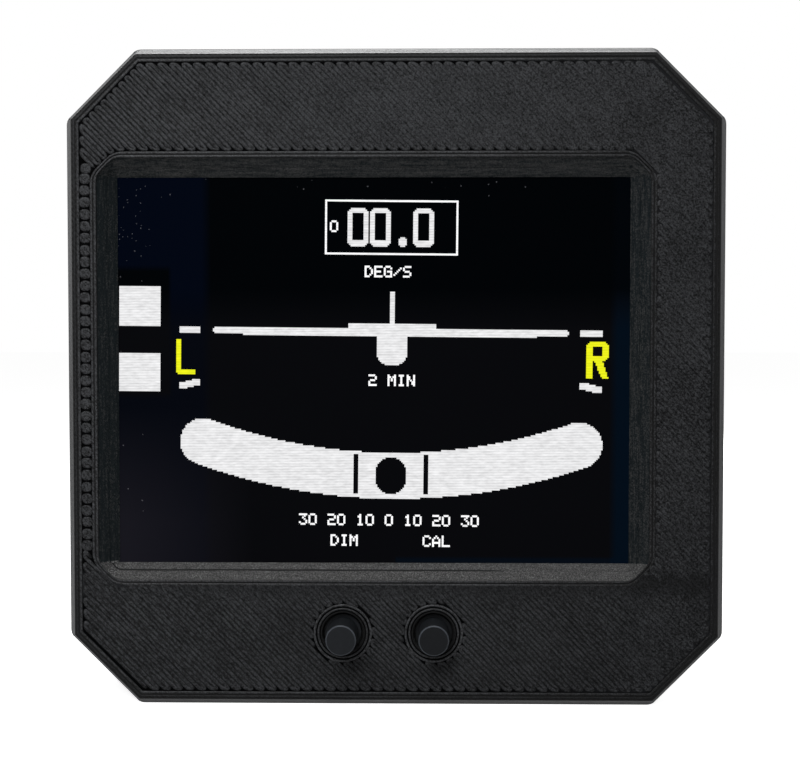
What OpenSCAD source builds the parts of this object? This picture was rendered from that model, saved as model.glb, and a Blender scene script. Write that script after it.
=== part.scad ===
// Electronic turn coordinator for a standard 3 1/8 inch instrument hole.
// The face looks along -Y and the case runs back along +Y. The origin is on
// the case axis, in the plane of the panel that the flange sits on.

/* [Front bezel] */
// Width and height of the square bezel
bezel_w = 82.55; // [78:0.05:90]
// Leg of the 45 degree cut at each corner
corner_cut = 8.95; // [7:0.05:10]
// Rounding of the upright edges
edge_r = 1.2; // [0.5:0.1:2]
// Depth of the face in front of the panel
bezel_depth = 14; // [13.6:0.1:18]
// Thickness of the side walls
side_wall = 2; // [1.6:0.1:2.1]
// Thickness of the face, which is the depth of the window recess
face_wall = 2.2; // [2:0.1:3]
// Bevel round the front edge on the four straight sides
edge_bevel = 0.65; // [0.3:0.05:1]
// Bevel round the front edge on the four corner cuts
corner_bevel = 0.35; // [0.2:0.05:1]

/* [Display] */
// Gap between the glass and the side walls of the bezel
display_gap = 0.425; // [0.35:0.005:0.6]
// Pixels of the lit area, across and down
pixels = [320, 240]; // [220:10:330]
// Blank glass left of the lit area
border_left = 3.6; // [2.5:0.05:4]
// Blank glass right of the lit area, which carries the driver
border_right = 9.3; // [8.5:0.05:10]
// Blank glass above and below the lit area
border_y = 3.22; // [2.5:0.01:3.4]
// Sideways place of the display's middle
display_x = 0.05; // [-0.1:0.05:0.1]
// Height of the display's middle above the case axis
display_z = 1.1; // [0:0.05:1.4]
// Thickness of the two glass sheets together
glass_t = 1.3; // [1.1:0.05:1.6]
// Thickness of the backlight tray
tray_t = 1.2; // [1:0.05:1.6]
// Wall of the backlight tray
tray_wall = 1; // [0.6:0.05:1.5]
// Floor of the backlight tray
tray_floor = 0.3; // [0.2:0.05:0.4]
// Thickness of the foam tape behind the tray
tape_t = 0.5; // [0.3:0.05:1]
// Width of the bevel that frames the window
window_bevel = 2.7; // [1.5:0.1:3]
// Width of the narrower bevel below the window
window_foot_bevel = 2.25; // [1.5:0.05:3]
// How far the window reaches below the lit area
window_foot = 0.3; // [0:0.05:0.6]
// Thickness of the square lip left at the glass
window_land = 0.3; // [0.1:0.05:0.6]
// Corner rounding of the window at the face
window_r = 3; // [1:0.1:4]

/* [Buttons] */
// Distance between the two buttons
button_pitch = 11.5; // [9:0.1:14]
// Sideways place of the point midway between the buttons
button_mid_x = -0.88; // [-4:0.01:4]
// Distance from the lower edge of the glass down to the buttons
button_drop = 5.73; // [5.2:0.01:6.2]
// Diameter of the hole round each button
button_hole_d = 5.2; // [4.8:0.1:6]
// Diameter of the cap
cap_d = 3.8; // [3.4:0.1:4]
// Diameter of the collar at the foot of the cap
collar_d = 4.6; // [4.2:0.1:4.6]
// Thickness of that collar
collar_t = 0.6; // [0.4:0.05:0.8]
// How far the cap stands out of the face
cap_proud = 4.8; // [3:0.1:6]
// Bevel round the end of the cap
cap_bevel = 0.15; // [0.1:0.05:0.5]
// Travel of the button
travel = 0.25; // [0.15:0.01:0.3]

/* [Tactile switches] */
// Width of the square switch body
switch_w = 6; // [5.8:0.1:6.4]
// Height of the switch body with its steel cover
switch_h = 3.5; // [3.4:0.05:3.6]
// Thickness of the steel cover
switch_cover_t = 0.2; // [0.15:0.05:0.3]
// Diameter of the plunger where it passes through the cover
plunger_d = 3.5; // [3.2:0.05:3.6]
// Width of the square post that the cap is pushed on
post_w = 2; // [1.6:0.1:2.2]
// Length of that post
post_len = 3.7; // [2.5:0.1:3.8]
// Depth of the well in the switch body
well_depth = 1.65; // [1.6:0.05:1.8]

/* [Case] */
// How far the round case stands back from the bezel's edge
case_step = 1.875; // [1.8:0.005:2.2]
// Wall of the round case
case_wall = 2; // [1.5:0.1:2.5]
// Length of the round case behind the panel
case_len = 24; // [23:0.5:30]
// Thickness of the flange against the panel
flange_t = 3; // [2.6:0.1:3.6]
// Thickness of the rear cover
cover_t = 2.5; // [2:0.1:4]
// Height of the lip that centres one shell on the next
lip_h = 2; // [1:0.1:2.2]
// Thickness of that lip
lip_t = 1.5; // [1:0.1:2]

/* [Panel mounting] */
// Distance from the bezel's edge to the panel screws
panel_edge = 9.84; // [9.7:0.01:10]
// Bore of the panel inserts
panel_bore_d = 3.6; // [3.5:0.05:3.8]
// Outer diameter of the panel inserts
panel_insert_d = 4.8; // [4.6:0.1:5.2]
// Length of the panel inserts
panel_insert_len = 5.7; // [4:0.1:5.8]
// Outer diameter of the bosses that hold them
panel_boss_d = 8.4; // [7.6:0.1:9]

/* [Boards] */
// Thickness of both circuit boards
board_t = 1.6; // [1.5:0.05:1.65]
// Space between the round power board and the case wall
power_board_gap = 6.9; // [6.7:0.05:7.1]
// Length of the posts between the power board and the rear cover
standoff_len = 8.5; // [8:0.1:9]
// Width across flats of those posts
standoff_af = 5; // [4.5:0.1:6]
// Distance from the power board's edge to those posts
standoff_edge = 4.337; // [3.8:0.001:4.7]

/* [Fasteners] */
// Sideways place of the four screws that join the bezel to the case
case_screw_x = 24; // [23:0.1:25]
// Distance from the bezel's upper and lower edges to those screws
case_screw_edge = 4.375; // [4.3:0.005:4.7]
// Diameter of those screws and of the display board's screws
small_screw_d = 2.5; // [2.3:0.1:2.6]
// Diameter of the cover's screws and of the power board's screws
cover_screw_d = 3; // [2.8:0.1:3.2]
// Length of the case screws
case_screw_len = 10; // [7.5:0.1:10.4]
// Distance from the case's outside to the cover's screws
cover_screw_edge = 5.4; // [5.3:0.05:5.6]

/* [Rear plug] */
// Width of the plug's shell on its long side
plug_w = 16.9; // [16.3:0.1:17.5]
// Height of the plug's shell
plug_h = 8.3; // [7.9:0.1:8.6]
// How far the plug's shell reaches from its flange
plug_reach = 5.9; // [5.5:0.1:6.5]
// Distance between the plug's two jack posts
jack_pitch = 24.99; // [24.9:0.01:25.1]

/* [Clearances] */
// Gap between printed shells
shell_gap = 0.15; // [0.1:0.05:0.25]
// Gap round the display and the boards
board_gap = 0.2; // [0.15:0.05:0.25]
// Gap round a fixed pin, screw or insert in its hole
fit_gap = 0.02; // [0.01:0.01:0.05]
// Running gap round a part that moves
run_gap = 0.08; // [0.05:0.01:0.12]

/* [Hidden] */
$fn = 48;
eps = 0.1;

// Planes across the case axis, from the face to the back
face_y = -bezel_depth;
glass_y = face_y + face_wall;
tray_y = glass_y + glass_t;
tape_y = tray_y + tray_t;
board_y = tape_y + tape_t;
board_back_y = board_y + board_t;
seam_y = -flange_t;
cover_y = case_len;
cover_back_y = cover_y + cover_t;
power_back_y = cover_y - standoff_len;
power_y = power_back_y - board_t;

// The display and its window
glass_w = bezel_w - 2 * side_wall - 2 * display_gap;
screen_w = glass_w - border_left - border_right;
screen_h = screen_w * pixels[1] / pixels[0];
glass_h = screen_h + 2 * border_y;
glass_top = display_z + glass_h / 2;
glass_foot = display_z - glass_h / 2;
glass_right = display_x + glass_w / 2;
screen_x = display_x + (border_left - border_right) / 2;
ledge_w = 1.55;
tray_w = glass_w - ledge_w;
tray_x = display_x - ledge_w / 2;
tray_corner_r = 0.6;
tape_inset = 3;
tape_band = 8;

// The display's tail and its connector
tail_w = 26;
tail_t = 0.15;
tail_bend_r = 0.8;
tail_rise = 1;
tail_run = 4.5;
tail_notch = tail_w + 2;
tail_grip = 3.2;
tail_socket = [5, 2.2, tail_w + 3];

// The inside of the bezel
inner_w = bezel_w - 2 * side_wall;
inner_cut = corner_cut - side_wall * (2 - sqrt(2));
rail_t = 1.2;
rail_h = 2.3;
rail_inset = 3.885;

// Planes in the switches, from the board forwards
switch_top_y = board_y - switch_h;
well_y = switch_top_y + switch_cover_t + well_depth;
collar_y = switch_top_y - travel - 0.1;
cap_end_y = face_y - cap_proud;
disc_t = 0.55;
dome_h = 0.35;
dome_r = 2.1;
dome_t = 0.1;
pocket_w = switch_w + 2 * board_gap;
switch_r = 0.4;
leg_w = 0.7;
leg_t = 0.2;
leg_z = 2.25;
leg_reach = 1.4;
foot_d = 1.8;
button_x = [button_mid_x - button_pitch / 2, button_mid_x + button_pitch / 2];
button_z = glass_foot - button_drop;

// The round case and its board
case_d = bezel_w - 2 * case_step;
power_board_d = case_d - 2 * case_wall - 2 * power_board_gap;

// Places of the fasteners, as [x, z]
board_screw_top_x = 14;
board_screw_top_gap = 4.38;
board_screw_low_x = 19;
board_screw_low_gap = 5.08;
function four(x, z) = [for (sx = [-1, 1], sz = [-1, 1]) [sx * x, sz * z]];
panel_pitch = bezel_w - 2 * panel_edge;
case_screw_z = bezel_w / 2 - case_screw_edge;
cover_screw_place = case_d / 2 - cover_screw_edge;
standoff_place = (power_board_d / 2 - standoff_edge) / sqrt(2);
board_screw_top = [board_screw_top_x, glass_top + board_screw_top_gap];
board_screw_low = [board_screw_low_x, glass_foot - board_screw_low_gap];
panel_places = four(panel_pitch / 2, panel_pitch / 2);
case_screw_places = four(case_screw_x, case_screw_z);
board_screw_places = [for (place = [board_screw_top, board_screw_low], side = [-1, 1])
                      [side * place[0], place[1]]];
cover_screw_places = four(cover_screw_place / sqrt(2), cover_screw_place / sqrt(2));
standoff_places = four(standoff_place, standoff_place);

// Sizes of the fasteners
small_insert_d = small_screw_d + 1.3;
small_insert_len = 5;
small_bore_d = small_screw_d + 0.1;
cover_insert_d = cover_screw_d + 1.4;
cover_insert_len = 5;
cover_bore_d = cover_screw_d + 0.1;
case_post_d = small_insert_d + 2.2;
board_post_d = small_screw_d + 2.5;
board_screw_len = 5.2;
cover_boss_d = cover_insert_d + 2;
cover_boss_len = 12;
cover_web_w = cover_boss_d - 1.2;
head_sink = small_screw_d * 0.55;
standoff_screw_len = 5.6;
cover_screw_len = 6.5;

// The rear plug
plug_ear = 2.905;
plug_flange = [jack_pitch + 2 * plug_ear, 12.5];
plug_flange_t = 1;
plug_flange_r = 1.5;
plug_corner_r = 2.4;
plug_skin = 0.4;
plug_slope = 10;
insulator_base = [19, 10.6];
contact_pitch = 2.77;
contact_rows = 2.84;
contact_d = 1.2;
contact_bore_d = 0.75;
contact_bore_len = 5;
tail_d = 0.7;
jack_hole_d = 3.1;
jack_af = 4.75;
jack_len = 5;
jack_reach = 2.4;
jack_bore_d = 2.9;
jack_bore_sink = 1.5;

// The link between the boards
link_w = 22.5;
link_z = 15;
ribbon_w = 20.3;
ribbon_t = 0.9;
header_h = 6;
header_wall = 1.5;
header_floor = 1;
socket_rise = 3.2;
socket_depth = 6;
ribbon_hold = 1.2;

// The parts on the boards, their places as [x, z]
chip_place = [-14, -8];
chip_size = [10, 1.4];
chip_gap = 0.1;
chip_legs = 11;
lead_w = 0.32;
lead_t = 0.15;
lead_run = 0.6;
lead_foot = 0.7;
crystal_place = [3, -8];
crystal_size = [11.2, 3.5, 4.6];
sensor_place = [0, 10];
sensor_size = [5, 1.2];
coil_place = [-21, -6];
coil_w = 12;
coil_h = 7;
coil_plate_t = 1.6;
coil_plate_r = 2.5;
coil_drum_d = 9.6;
capacitor_edge = 8.5;
capacitor_place = [power_board_d / 2 - capacitor_edge, 6.5];
capacitor_d = 10;
capacitor_len = 12.5;
capacitor_groove = 0.4;
regulator_place = [-20.5, 8.5];
regulator_size = [10, 4.5, 8];
regulator_tab = [10, 1.3, 2];
regulator_leg = [0.8, 0.6, 2];
regulator_leg_pitch = 2.54;

black = [0.13, 0.13, 0.14];
board_green = [0.05, 0.3, 0.16];

// Points of a polygon with each corner rounded to radius r by n steps
function unit(v) = v / norm(v);
function turned(v, a) = [v[0] * cos(a) - v[1] * sin(a), v[0] * sin(a) + v[1] * cos(a)];
function corner_arc(a, p, b, r, n) =
    let (u = unit(a - p), v = unit(b - p),
         half = acos(u * v) / 2,
         mid = p + unit(u + v) * r / sin(half),
         start = p + u * r / tan(half) - mid,
         side = sign(u[0] * v[1] - u[1] * v[0]))
    [for (k = [0:n]) mid + turned(start, -side * k * (180 - 2 * half) / n)];
function rounded(p, r, n = 4) =
    [for (i = [0:len(p) - 1]) each
        corner_arc(p[(i + len(p) - 1) % len(p)], p[i], p[(i + 1) % len(p)], r, n)];
function cut_square(w, c) =
    let (h = w / 2)
    [[h, h - c], [h - c, h], [-h + c, h], [-h, h - c],
     [-h, -h + c], [-h + c, -h], [h - c, -h], [h, -h + c]];
function box_points(w, h) = [[w, h], [-w, h], [-w, -h], [w, -h]] / 2;

// A flat outline drawn in X and Z, as a slab from y0 to y1
module slab(y0, y1) {
    translate([0, y1, 0])
        rotate([90, 0, 0])
            linear_extrude(y1 - y0)
                children();
}

// A round rod along Y
module rod(place, y0, y1, d) {
    translate([place[0], y1, place[1]])
        rotate([90, 0, 0])
            cylinder(h = y1 - y0, d = d);
}

// A turned shape along Y, its outline as [radius, distance towards the face]
module turned_shape(place, y, outline) {
    translate([place[0], y, place[1]])
        rotate([90, 0, 0])
            rotate_extrude()
                polygon(outline);
}

module box_outline(w, h, r = 0) {
    polygon(r > 0 ? rounded(box_points(w, h), r) : box_points(w, h));
}

module bezel_outline() {
    polygon(rounded(cut_square(bezel_w, corner_cut), edge_r));
}

module inner_outline(inset = 0) {
    polygon(cut_square(inner_w - 2 * inset, inner_cut - inset * (2 - sqrt(2))));
}

// The long outline of the rear plug, wider at its upper side
module plug_outline(inset = 0) {
    w = plug_w / 2 - inset;
    h = plug_h / 2 - inset;
    lean = 2 * h * tan(plug_slope);
    polygon(rounded([[w, h], [-w, h], [-w + lean, -h], [w - lean, -h]], plug_corner_r - inset));
}

// The wedge that bevels one front edge at a distance from the axis
module edge_wedge(angle, distance, bevel) {
    rotate([0, angle, 0])
        translate([0, face_y, distance])
            rotate([45, 0, 0])
                cube([bezel_w, bevel * sqrt(2), bevel * sqrt(2)], center = true);
}

// The printed front: face, side walls, display rails and screw posts
module front_bezel() {
    color(black)
    difference() {
        union() {
            difference() {
                slab(face_y, seam_y) bezel_outline();
                slab(glass_y, seam_y + eps) inner_outline();
            }
            for (p = case_screw_places)
                rod(p, glass_y - eps, seam_y, case_post_d);
            for (p = board_screw_places)
                rod(p, glass_y - eps, board_y, board_post_d);
            for (side = [-1, 1])
                translate([display_x, 0, display_z + side * (glass_h / 2 + board_gap + rail_t / 2)])
                    slab(glass_y - eps, glass_y + rail_h)
                        square([glass_w - 2 * rail_inset, rail_t], center = true);
        }
        window_cut();
        for (a = [0:90:270]) {
            edge_wedge(a, bezel_w / 2, edge_bevel);
            edge_wedge(a + 45, (bezel_w - corner_cut) / sqrt(2), corner_bevel);
        }
        for (x = button_x) {
            rod([x, button_z], face_y - eps, glass_y + eps, button_hole_d);
            translate([x, 0, button_z])
                slab(switch_top_y - board_gap, glass_y + eps) box_outline(pocket_w, pocket_w);
        }
        for (p = case_screw_places)
            rod(p, seam_y - case_screw_len - board_gap + flange_t, seam_y + eps,
                small_insert_d + 2 * fit_gap);
        for (p = board_screw_places)
            rod(p, board_back_y - board_screw_len - board_gap, board_y + eps, small_screw_d + 2 * fit_gap);
    }
}

// The bevelled window: rounded at the face and sharp at the glass
module window_cut() {
    foot = window_foot + window_foot_bevel;
    translate([screen_x, 0, display_z])
        hull() {
            translate([0, 0, (window_bevel - foot) / 2])
                slab(face_y - eps, face_y)
                    box_outline(screen_w + 2 * window_bevel, screen_h + window_bevel + foot, window_r);
            translate([0, 0, -window_foot / 2])
                slab(glass_y - window_land, glass_y + eps)
                    box_outline(screen_w, screen_h + window_foot);
        }
}

// The printed back: flange, centring lip, insert bosses and round case
module rear_housing() {
    color(black)
    difference() {
        union() {
            slab(seam_y, 0) bezel_outline();
            difference() {
                slab(seam_y - lip_h, seam_y) inner_outline(shell_gap);
                slab(seam_y - lip_h - eps, seam_y) inner_outline(shell_gap + lip_t);
                for (p = case_screw_places)
                    rod(p, seam_y - lip_h - eps, seam_y, case_post_d + 2 * shell_gap);
            }
            for (p = panel_places)
                rod(p, board_back_y + board_gap, 0, panel_boss_d);
            rod([0, 0], -flange_t, cover_y, case_d);
        }
        difference() {
            rod([0, 0], board_back_y, cover_y + eps, case_d - 2 * case_wall);
            for (p = cover_screw_places)
                cover_boss(p);
        }
        for (p = panel_places)
            rod(p, -panel_insert_len, eps, panel_insert_d + 2 * fit_gap);
        for (p = case_screw_places) {
            rod(p, seam_y - eps, eps, small_bore_d + 2 * fit_gap);
            countersink(p);
        }
        for (p = cover_screw_places)
            rod(p, cover_y - cover_screw_len, cover_y + eps, cover_insert_d + 2 * fit_gap);
    }
}

// The seat of one flush screw head in the flange
module countersink(place) {
    turned_shape(place, 0, [[0, -eps], [small_screw_d + fit_gap, -eps], [small_screw_d + fit_gap, 0],
                            [small_screw_d / 2 + fit_gap, head_sink], [0, head_sink]]);
}

// One boss inside the round case, joined to its wall
module cover_boss(place) {
    reach = case_d / 2 - cover_screw_place;
    angle = atan2(place[1], place[0]);
    rotate([0, 180 - angle, 0]) {
        rod([-cover_screw_place, 0], cover_y - cover_boss_len, cover_y + 2 * eps, cover_boss_d);
        translate([-cover_screw_place - reach, cover_y - cover_boss_len, -cover_web_w / 2])
            cube([reach, cover_boss_len + 2 * eps, cover_web_w]);
    }
}

// The round plate that closes the back of the case
module rear_cover() {
    lip_d = case_d - 2 * (case_wall + shell_gap);
    color(black)
    difference() {
        union() {
            rod([0, 0], cover_y, cover_back_y, case_d);
            difference() {
                rod([0, 0], cover_y - lip_h, cover_y, lip_d);
                rod([0, 0], cover_y - lip_h - eps, cover_y, lip_d - 2 * lip_t);
                for (p = cover_screw_places)
                    rotate([0, -atan2(p[1], p[0]), 0])
                        translate([0, cover_y - lip_h - eps, -cover_boss_d / 2 - shell_gap])
                            cube([case_d / 2, lip_h + eps, cover_boss_d + 2 * shell_gap]);
            }
        }
        for (p = concat(cover_screw_places, standoff_places))
            rod(p, cover_y - eps, cover_back_y + eps, cover_bore_d + 2 * fit_gap);
        slab(cover_y - eps, cover_back_y + eps) plug_outline(-shell_gap);
        for (side = [-1, 1])
            rod([side * jack_pitch / 2, 0], cover_y - eps, cover_back_y + eps, jack_hole_d);
    }
}

// The two bonded glass sheets of the display
module lcd_glass() {
    color([0.02, 0.02, 0.03])
        translate([display_x, 0, display_z])
            slab(glass_y, tray_y) box_outline(glass_w, glass_h);
}

// The tray behind the glass that holds the light guide
module backlight_tray() {
    color("whitesmoke")
        translate([tray_x, 0, display_z])
            difference() {
                slab(tray_y, tape_y) box_outline(tray_w, glass_h, tray_corner_r);
                slab(tray_y - eps, tape_y - tray_floor)
                    box_outline(tray_w - 2 * tray_wall, glass_h - 2 * tray_wall);
            }
}

// The clear plate that spreads the backlight
module light_guide() {
    color([0.85, 0.92, 0.95])
        translate([tray_x, 0, display_z])
            slab(tray_y + fit_gap, tape_y - tray_floor)
                box_outline(tray_w - 2 * tray_wall - board_gap, glass_h - 2 * tray_wall - board_gap);
}

// The foam tape between the tray and the display board
module display_tape() {
    color([0.25, 0.25, 0.25])
        translate([tray_x, 0, display_z])
            slab(tape_y, board_y)
                difference() {
                    square([tray_w, glass_h] - 2 * tape_inset * [1, 1], center = true);
                    square([tray_w, glass_h] - 2 * (tape_inset + tape_band) * [1, 1], center = true);
                }
}

// The flexible tail, from the glass ledge round the board's edge to its connector
module display_tail() {
    x0 = glass_right - ledge_w / 2;
    y1 = board_back_y + tail_rise;
    color([0.85, 0.55, 0.2])
        translate([0, 0, display_z - tail_w / 2])
            linear_extrude(tail_w)
                polygon(concat(
                    [[x0 + tail_t, tray_y], [x0, tray_y]],
                    [for (k = [0:4]) [x0 - tail_bend_r, y1 - tail_bend_r]
                        + tail_bend_r * [cos(k * 22.5), sin(k * 22.5)]],
                    [[x0 - tail_bend_r - tail_run, y1], [x0 - tail_bend_r - tail_run, y1 + tail_t]],
                    [for (k = [4:-1:0]) [x0 - tail_bend_r, y1 - tail_bend_r]
                        + (tail_bend_r + tail_t) * [cos(k * 22.5), sin(k * 22.5)]]));
}

// The socket on the display board that grips the tail
module tail_connector() {
    x1 = glass_right - ledge_w / 2 - tail_bend_r - tail_run + tail_grip - board_gap;
    y1 = board_back_y + tail_rise;
    color("ivory")
        difference() {
            translate([x1 - tail_socket[0], board_back_y, display_z - tail_socket[2] / 2])
                cube(tail_socket);
            translate([x1 - tail_grip, y1 - fit_gap, display_z - tail_w / 2 - fit_gap])
                cube([tail_grip + eps, tail_t + 2 * fit_gap, tail_w + 2 * fit_gap]);
        }
}

// The board behind the display, which also carries the two switches
module display_board() {
    color(board_green)
        difference() {
            slab(board_y, board_back_y) inner_outline(board_gap);
            for (p = case_screw_places)
                translate([p[0], 0, p[1]])
                    slab(board_y - eps, board_back_y + eps)
                        translate([0, sign(p[1]) * case_post_d / 2])
                            square([case_post_d, 2 * case_post_d] + 2 * board_gap * [1, 1], center = true);
            for (p = board_screw_places)
                rod(p, board_y - eps, board_back_y + eps, small_bore_d + 2 * fit_gap);
            translate([glass_right - ledge_w / 2 - board_gap, board_y - eps, display_z - tail_notch / 2])
                cube([ledge_w + side_wall, board_t + 2 * eps, tail_notch]);
        }
}

// A flat square package with legs on its four sides, seated on a board at y
module leaded_chip(place, y, w, h, legs) {
    pitch = (w - 5 * lead_w) / (legs - 1);
    translate([place[0], y, place[1]]) {
        translate([-w / 2, chip_gap, -w / 2])
            cube([w, h, w]);
        for (a = [0:90:270], k = [0:legs - 1])
            rotate([0, a, 0])
                translate([w / 2 - eps, 0, (k - (legs - 1) / 2) * pitch - lead_w / 2]) {
                    translate([0, h / 2, 0])
                        cube([lead_run, lead_t, lead_w]);
                    translate([lead_run - lead_t, 0, 0])
                        cube([lead_t, h / 2, lead_w]);
                    translate([lead_run - lead_t, 0, 0])
                        cube([lead_foot, lead_t, lead_w]);
                }
    }
}

// The processor that draws the picture
module processor_chip() {
    color([0.12, 0.12, 0.12])
        leaded_chip(chip_place, board_back_y, chip_size[0], chip_size[1], chip_legs);
}

// The crystal can beside the processor
module clock_crystal() {
    color("silver")
        translate([crystal_place[0], 0, crystal_place[1]])
            slab(board_back_y, board_back_y + crystal_size[1])
                box_outline(crystal_size[0], crystal_size[2], crystal_size[2] / 2 - 0.05);
}

// The moulded bodies of the two push switches
module switch_bodies() {
    color([0.15, 0.15, 0.15])
        for (x = button_x)
            difference() {
                translate([x, 0, button_z])
                    slab(switch_top_y + switch_cover_t, board_y) box_outline(switch_w, switch_w, switch_r);
                rod([x, button_z], switch_top_y, well_y, 2 * dome_r + 0.8);
            }
}

// The steel plates that close the switches
module switch_covers() {
    color("silver")
        for (x = button_x)
            difference() {
                translate([x, 0, button_z])
                    slab(switch_top_y, switch_top_y + switch_cover_t)
                        box_outline(switch_w - 0.2, switch_w - 0.2, switch_r);
                rod([x, button_z], switch_top_y - eps, switch_top_y + switch_cover_t + eps,
                    plunger_d + 2 * run_gap);
            }
}

// The snap domes on the floors of the wells
module switch_domes() {
    color("gold")
        for (x = button_x)
            turned_shape([x, button_z], well_y,
                         [[0, dome_h - dome_t], [dome_r * 0.55, dome_h - dome_t - 0.06], [dome_r - 0.2, 0],
                          [dome_r, 0], [dome_r, dome_t], [dome_r * 0.6, dome_h - 0.04], [0, dome_h]]);
}

// The formed legs that solder the switches to the board
module switch_legs() {
    color("silver")
        for (x = button_x, sx = [-1, 1], sz = [-1, 1])
            translate([x + sx * switch_w / 2, 0, button_z + sz * leg_z])
                scale([sx, 1, 1])
                    translate([0, board_y, -leg_w / 2])
                        linear_extrude(leg_w)
                            polygon([[0, -5 * leg_t], [0.5, -5 * leg_t], [0.5, -leg_t],
                                     [leg_reach, -leg_t], [leg_reach, 0], [0.5 - leg_t, 0],
                                     [0.5 - leg_t, -4 * leg_t], [0, -4 * leg_t]]);
}

// A switch plunger: retaining disc, round neck, square post and foot
module plunger(x) {
    disc_y = switch_top_y + switch_cover_t + fit_gap;
    color([0.1, 0.1, 0.1])
        union() {
            rod([x, button_z], collar_y, disc_y + eps, plunger_d);
            rod([x, button_z], disc_y, disc_y + disc_t, plunger_d + 0.9);
            rod([x, button_z], disc_y, well_y - dome_h - travel - 0.03, foot_d);
            translate([x, 0, button_z])
                slab(collar_y - post_len, collar_y + eps) square(post_w, center = true);
        }
}

// A button cap: stem with a bevelled end, collar and square socket
module button_cap(x) {
    r = cap_d / 2;
    len = collar_y - cap_end_y;
    color(black)
        difference() {
            turned_shape([x, button_z], collar_y,
                         [[0, 0], [collar_d / 2, 0], [collar_d / 2, collar_t], [r, collar_t],
                          [r, len - cap_bevel], [r - cap_bevel, len], [0, len]]);
            translate([x, 0, button_z])
                slab(collar_y - post_len - fit_gap, collar_y + eps)
                    square(post_w + 2 * fit_gap, center = true);
        }
}

module dim_plunger() {
    plunger(button_x[0]);
}

module dim_button() {
    button_cap(button_x[0]);
}

module cal_plunger() {
    plunger(button_x[1]);
}

module cal_button() {
    button_cap(button_x[1]);
}

// A brass insert for a melted-in thread, with two knurled bands
module insert(place, y0, y1, outer_d, bore_d) {
    len = y1 - y0;
    r = outer_d / 2;
    turned_shape(place, y1,
                 [[bore_d / 2, 0], [r, 0], [r, len * 0.4], [r - 0.25, len * 0.4], [r - 0.25, len * 0.6],
                  [r, len * 0.6], [r, len * 0.9], [r - 0.25, len], [bore_d / 2, len]]);
}

// The inserts in the bezel's posts
module case_inserts() {
    color("goldenrod")
        for (p = case_screw_places)
            insert(p, seam_y - small_insert_len, seam_y, small_insert_d, small_bore_d);
}

// The flush screws that join the case to the bezel
module case_screws() {
    r = small_screw_d / 2;
    color("silver")
        for (p = case_screw_places)
            difference() {
                turned_shape(p, 0, [[0, 0], [2 * r, 0], [r, head_sink - fit_gap],
                                    [r, case_screw_len], [0, case_screw_len]]);
                hex_recess(p, 0, 1.5, 0.9, 1);
            }
}

// The threaded inserts that take the panel's screws
module panel_inserts() {
    color("goldenrod")
        for (p = panel_places)
            insert(p, -panel_insert_len, 0, panel_insert_d, panel_bore_d);
}

// A hexagon recess in a screw head, cut towards the face or away from it
module hex_recess(place, y, af, depth, way) {
    translate([place[0], way > 0 ? y + eps : y + depth, place[1]])
        rotate([90, 0, 0])
            cylinder(h = depth + eps, d = af / cos(30), $fn = 6);
}

// A pan head screw with its head at y, its shank running towards the face
module pan_screw(place, y, d, len) {
    r = d / 2;
    difference() {
        turned_shape(place, y,
                     [[0, -0.6 * d], [1.5 * r, -0.6 * d], [1.9 * r, -0.35 * d], [1.9 * r, 0],
                      [r, 0], [r, len], [0, len]]);
        hex_recess(place, y + 0.6 * d, 0.6 * d, 0.35 * d, 1);
    }
}

// The screws that hold the display board to the bezel
module board_screws() {
    color("silver")
        for (p = board_screw_places)
            pan_screw(p, board_back_y, small_screw_d, board_screw_len);
}

// A box header on a board face at y, open away from the board
module box_header(y, z, way) {
    translate([0, y, z])
        scale([1, way, 1])
            difference() {
                translate([-link_w / 2 - header_wall, 0, -socket_depth / 2 - header_wall])
                    cube([link_w + 2 * header_wall, header_h, socket_depth + 2 * header_wall]);
                translate([-link_w / 2 - fit_gap, header_floor, -socket_depth / 2 - fit_gap])
                    cube([link_w + 2 * fit_gap, header_h, socket_depth + 2 * fit_gap]);
            }
}

// The shrouded headers on the two boards
module link_headers() {
    color([0.12, 0.12, 0.12]) {
        box_header(board_back_y, link_z, 1);
        box_header(power_y, -link_z, -1);
    }
}

// The ribbon's sockets, each seated in its header
module link_sockets() {
    h = header_h - header_floor + socket_rise;
    color([0.2, 0.2, 0.22]) {
        translate([-link_w / 2, board_back_y + header_floor, link_z - socket_depth / 2])
            cube([link_w, h, socket_depth]);
        translate([-link_w / 2, power_y - header_floor - h, -link_z - socket_depth / 2])
            cube([link_w, h, socket_depth]);
    }
}

// The flat cable between the boards, in one easy S bend
module link_ribbon() {
    z0 = link_z - socket_depth / 2;
    y0 = board_back_y + header_h + socket_rise - ribbon_hold;
    y1 = power_y - header_h - socket_rise + ribbon_hold;
    steps = 12;
    color([0.6, 0.6, 0.62])
        translate([-ribbon_w / 2, 0, 0])
            rotate([90, 0, 90])
                linear_extrude(ribbon_w)
                    polygon(concat(
                        [for (k = [0:steps]) let (t = k / steps)
                            [y0 + (y1 - y0) * (3 - 2 * t) * t * t - ribbon_t / 2, z0 * (1 - 2 * t)]],
                        [for (k = [steps:-1:0]) let (t = k / steps)
                            [y0 + (y1 - y0) * (3 - 2 * t) * t * t + ribbon_t / 2, z0 * (1 - 2 * t)]]));
}

// The places of the plug's nine contacts
contact_places = concat(
    [for (k = [-2:2]) [k * contact_pitch, contact_rows / 2]],
    [for (k = [-1.5:1.5]) [k * contact_pitch, -contact_rows / 2]]);

// The round board in the case that makes the supply and senses the turn
module power_board() {
    color(board_green)
        difference() {
            rod([0, 0], power_y, power_back_y, power_board_d);
            for (p = standoff_places)
                rod(p, power_y - eps, power_back_y + eps, cover_bore_d + 2 * fit_gap);
            for (p = contact_places)
                rod(p, power_y - eps, power_back_y + eps, tail_d + 2 * fit_gap);
        }
}

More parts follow.
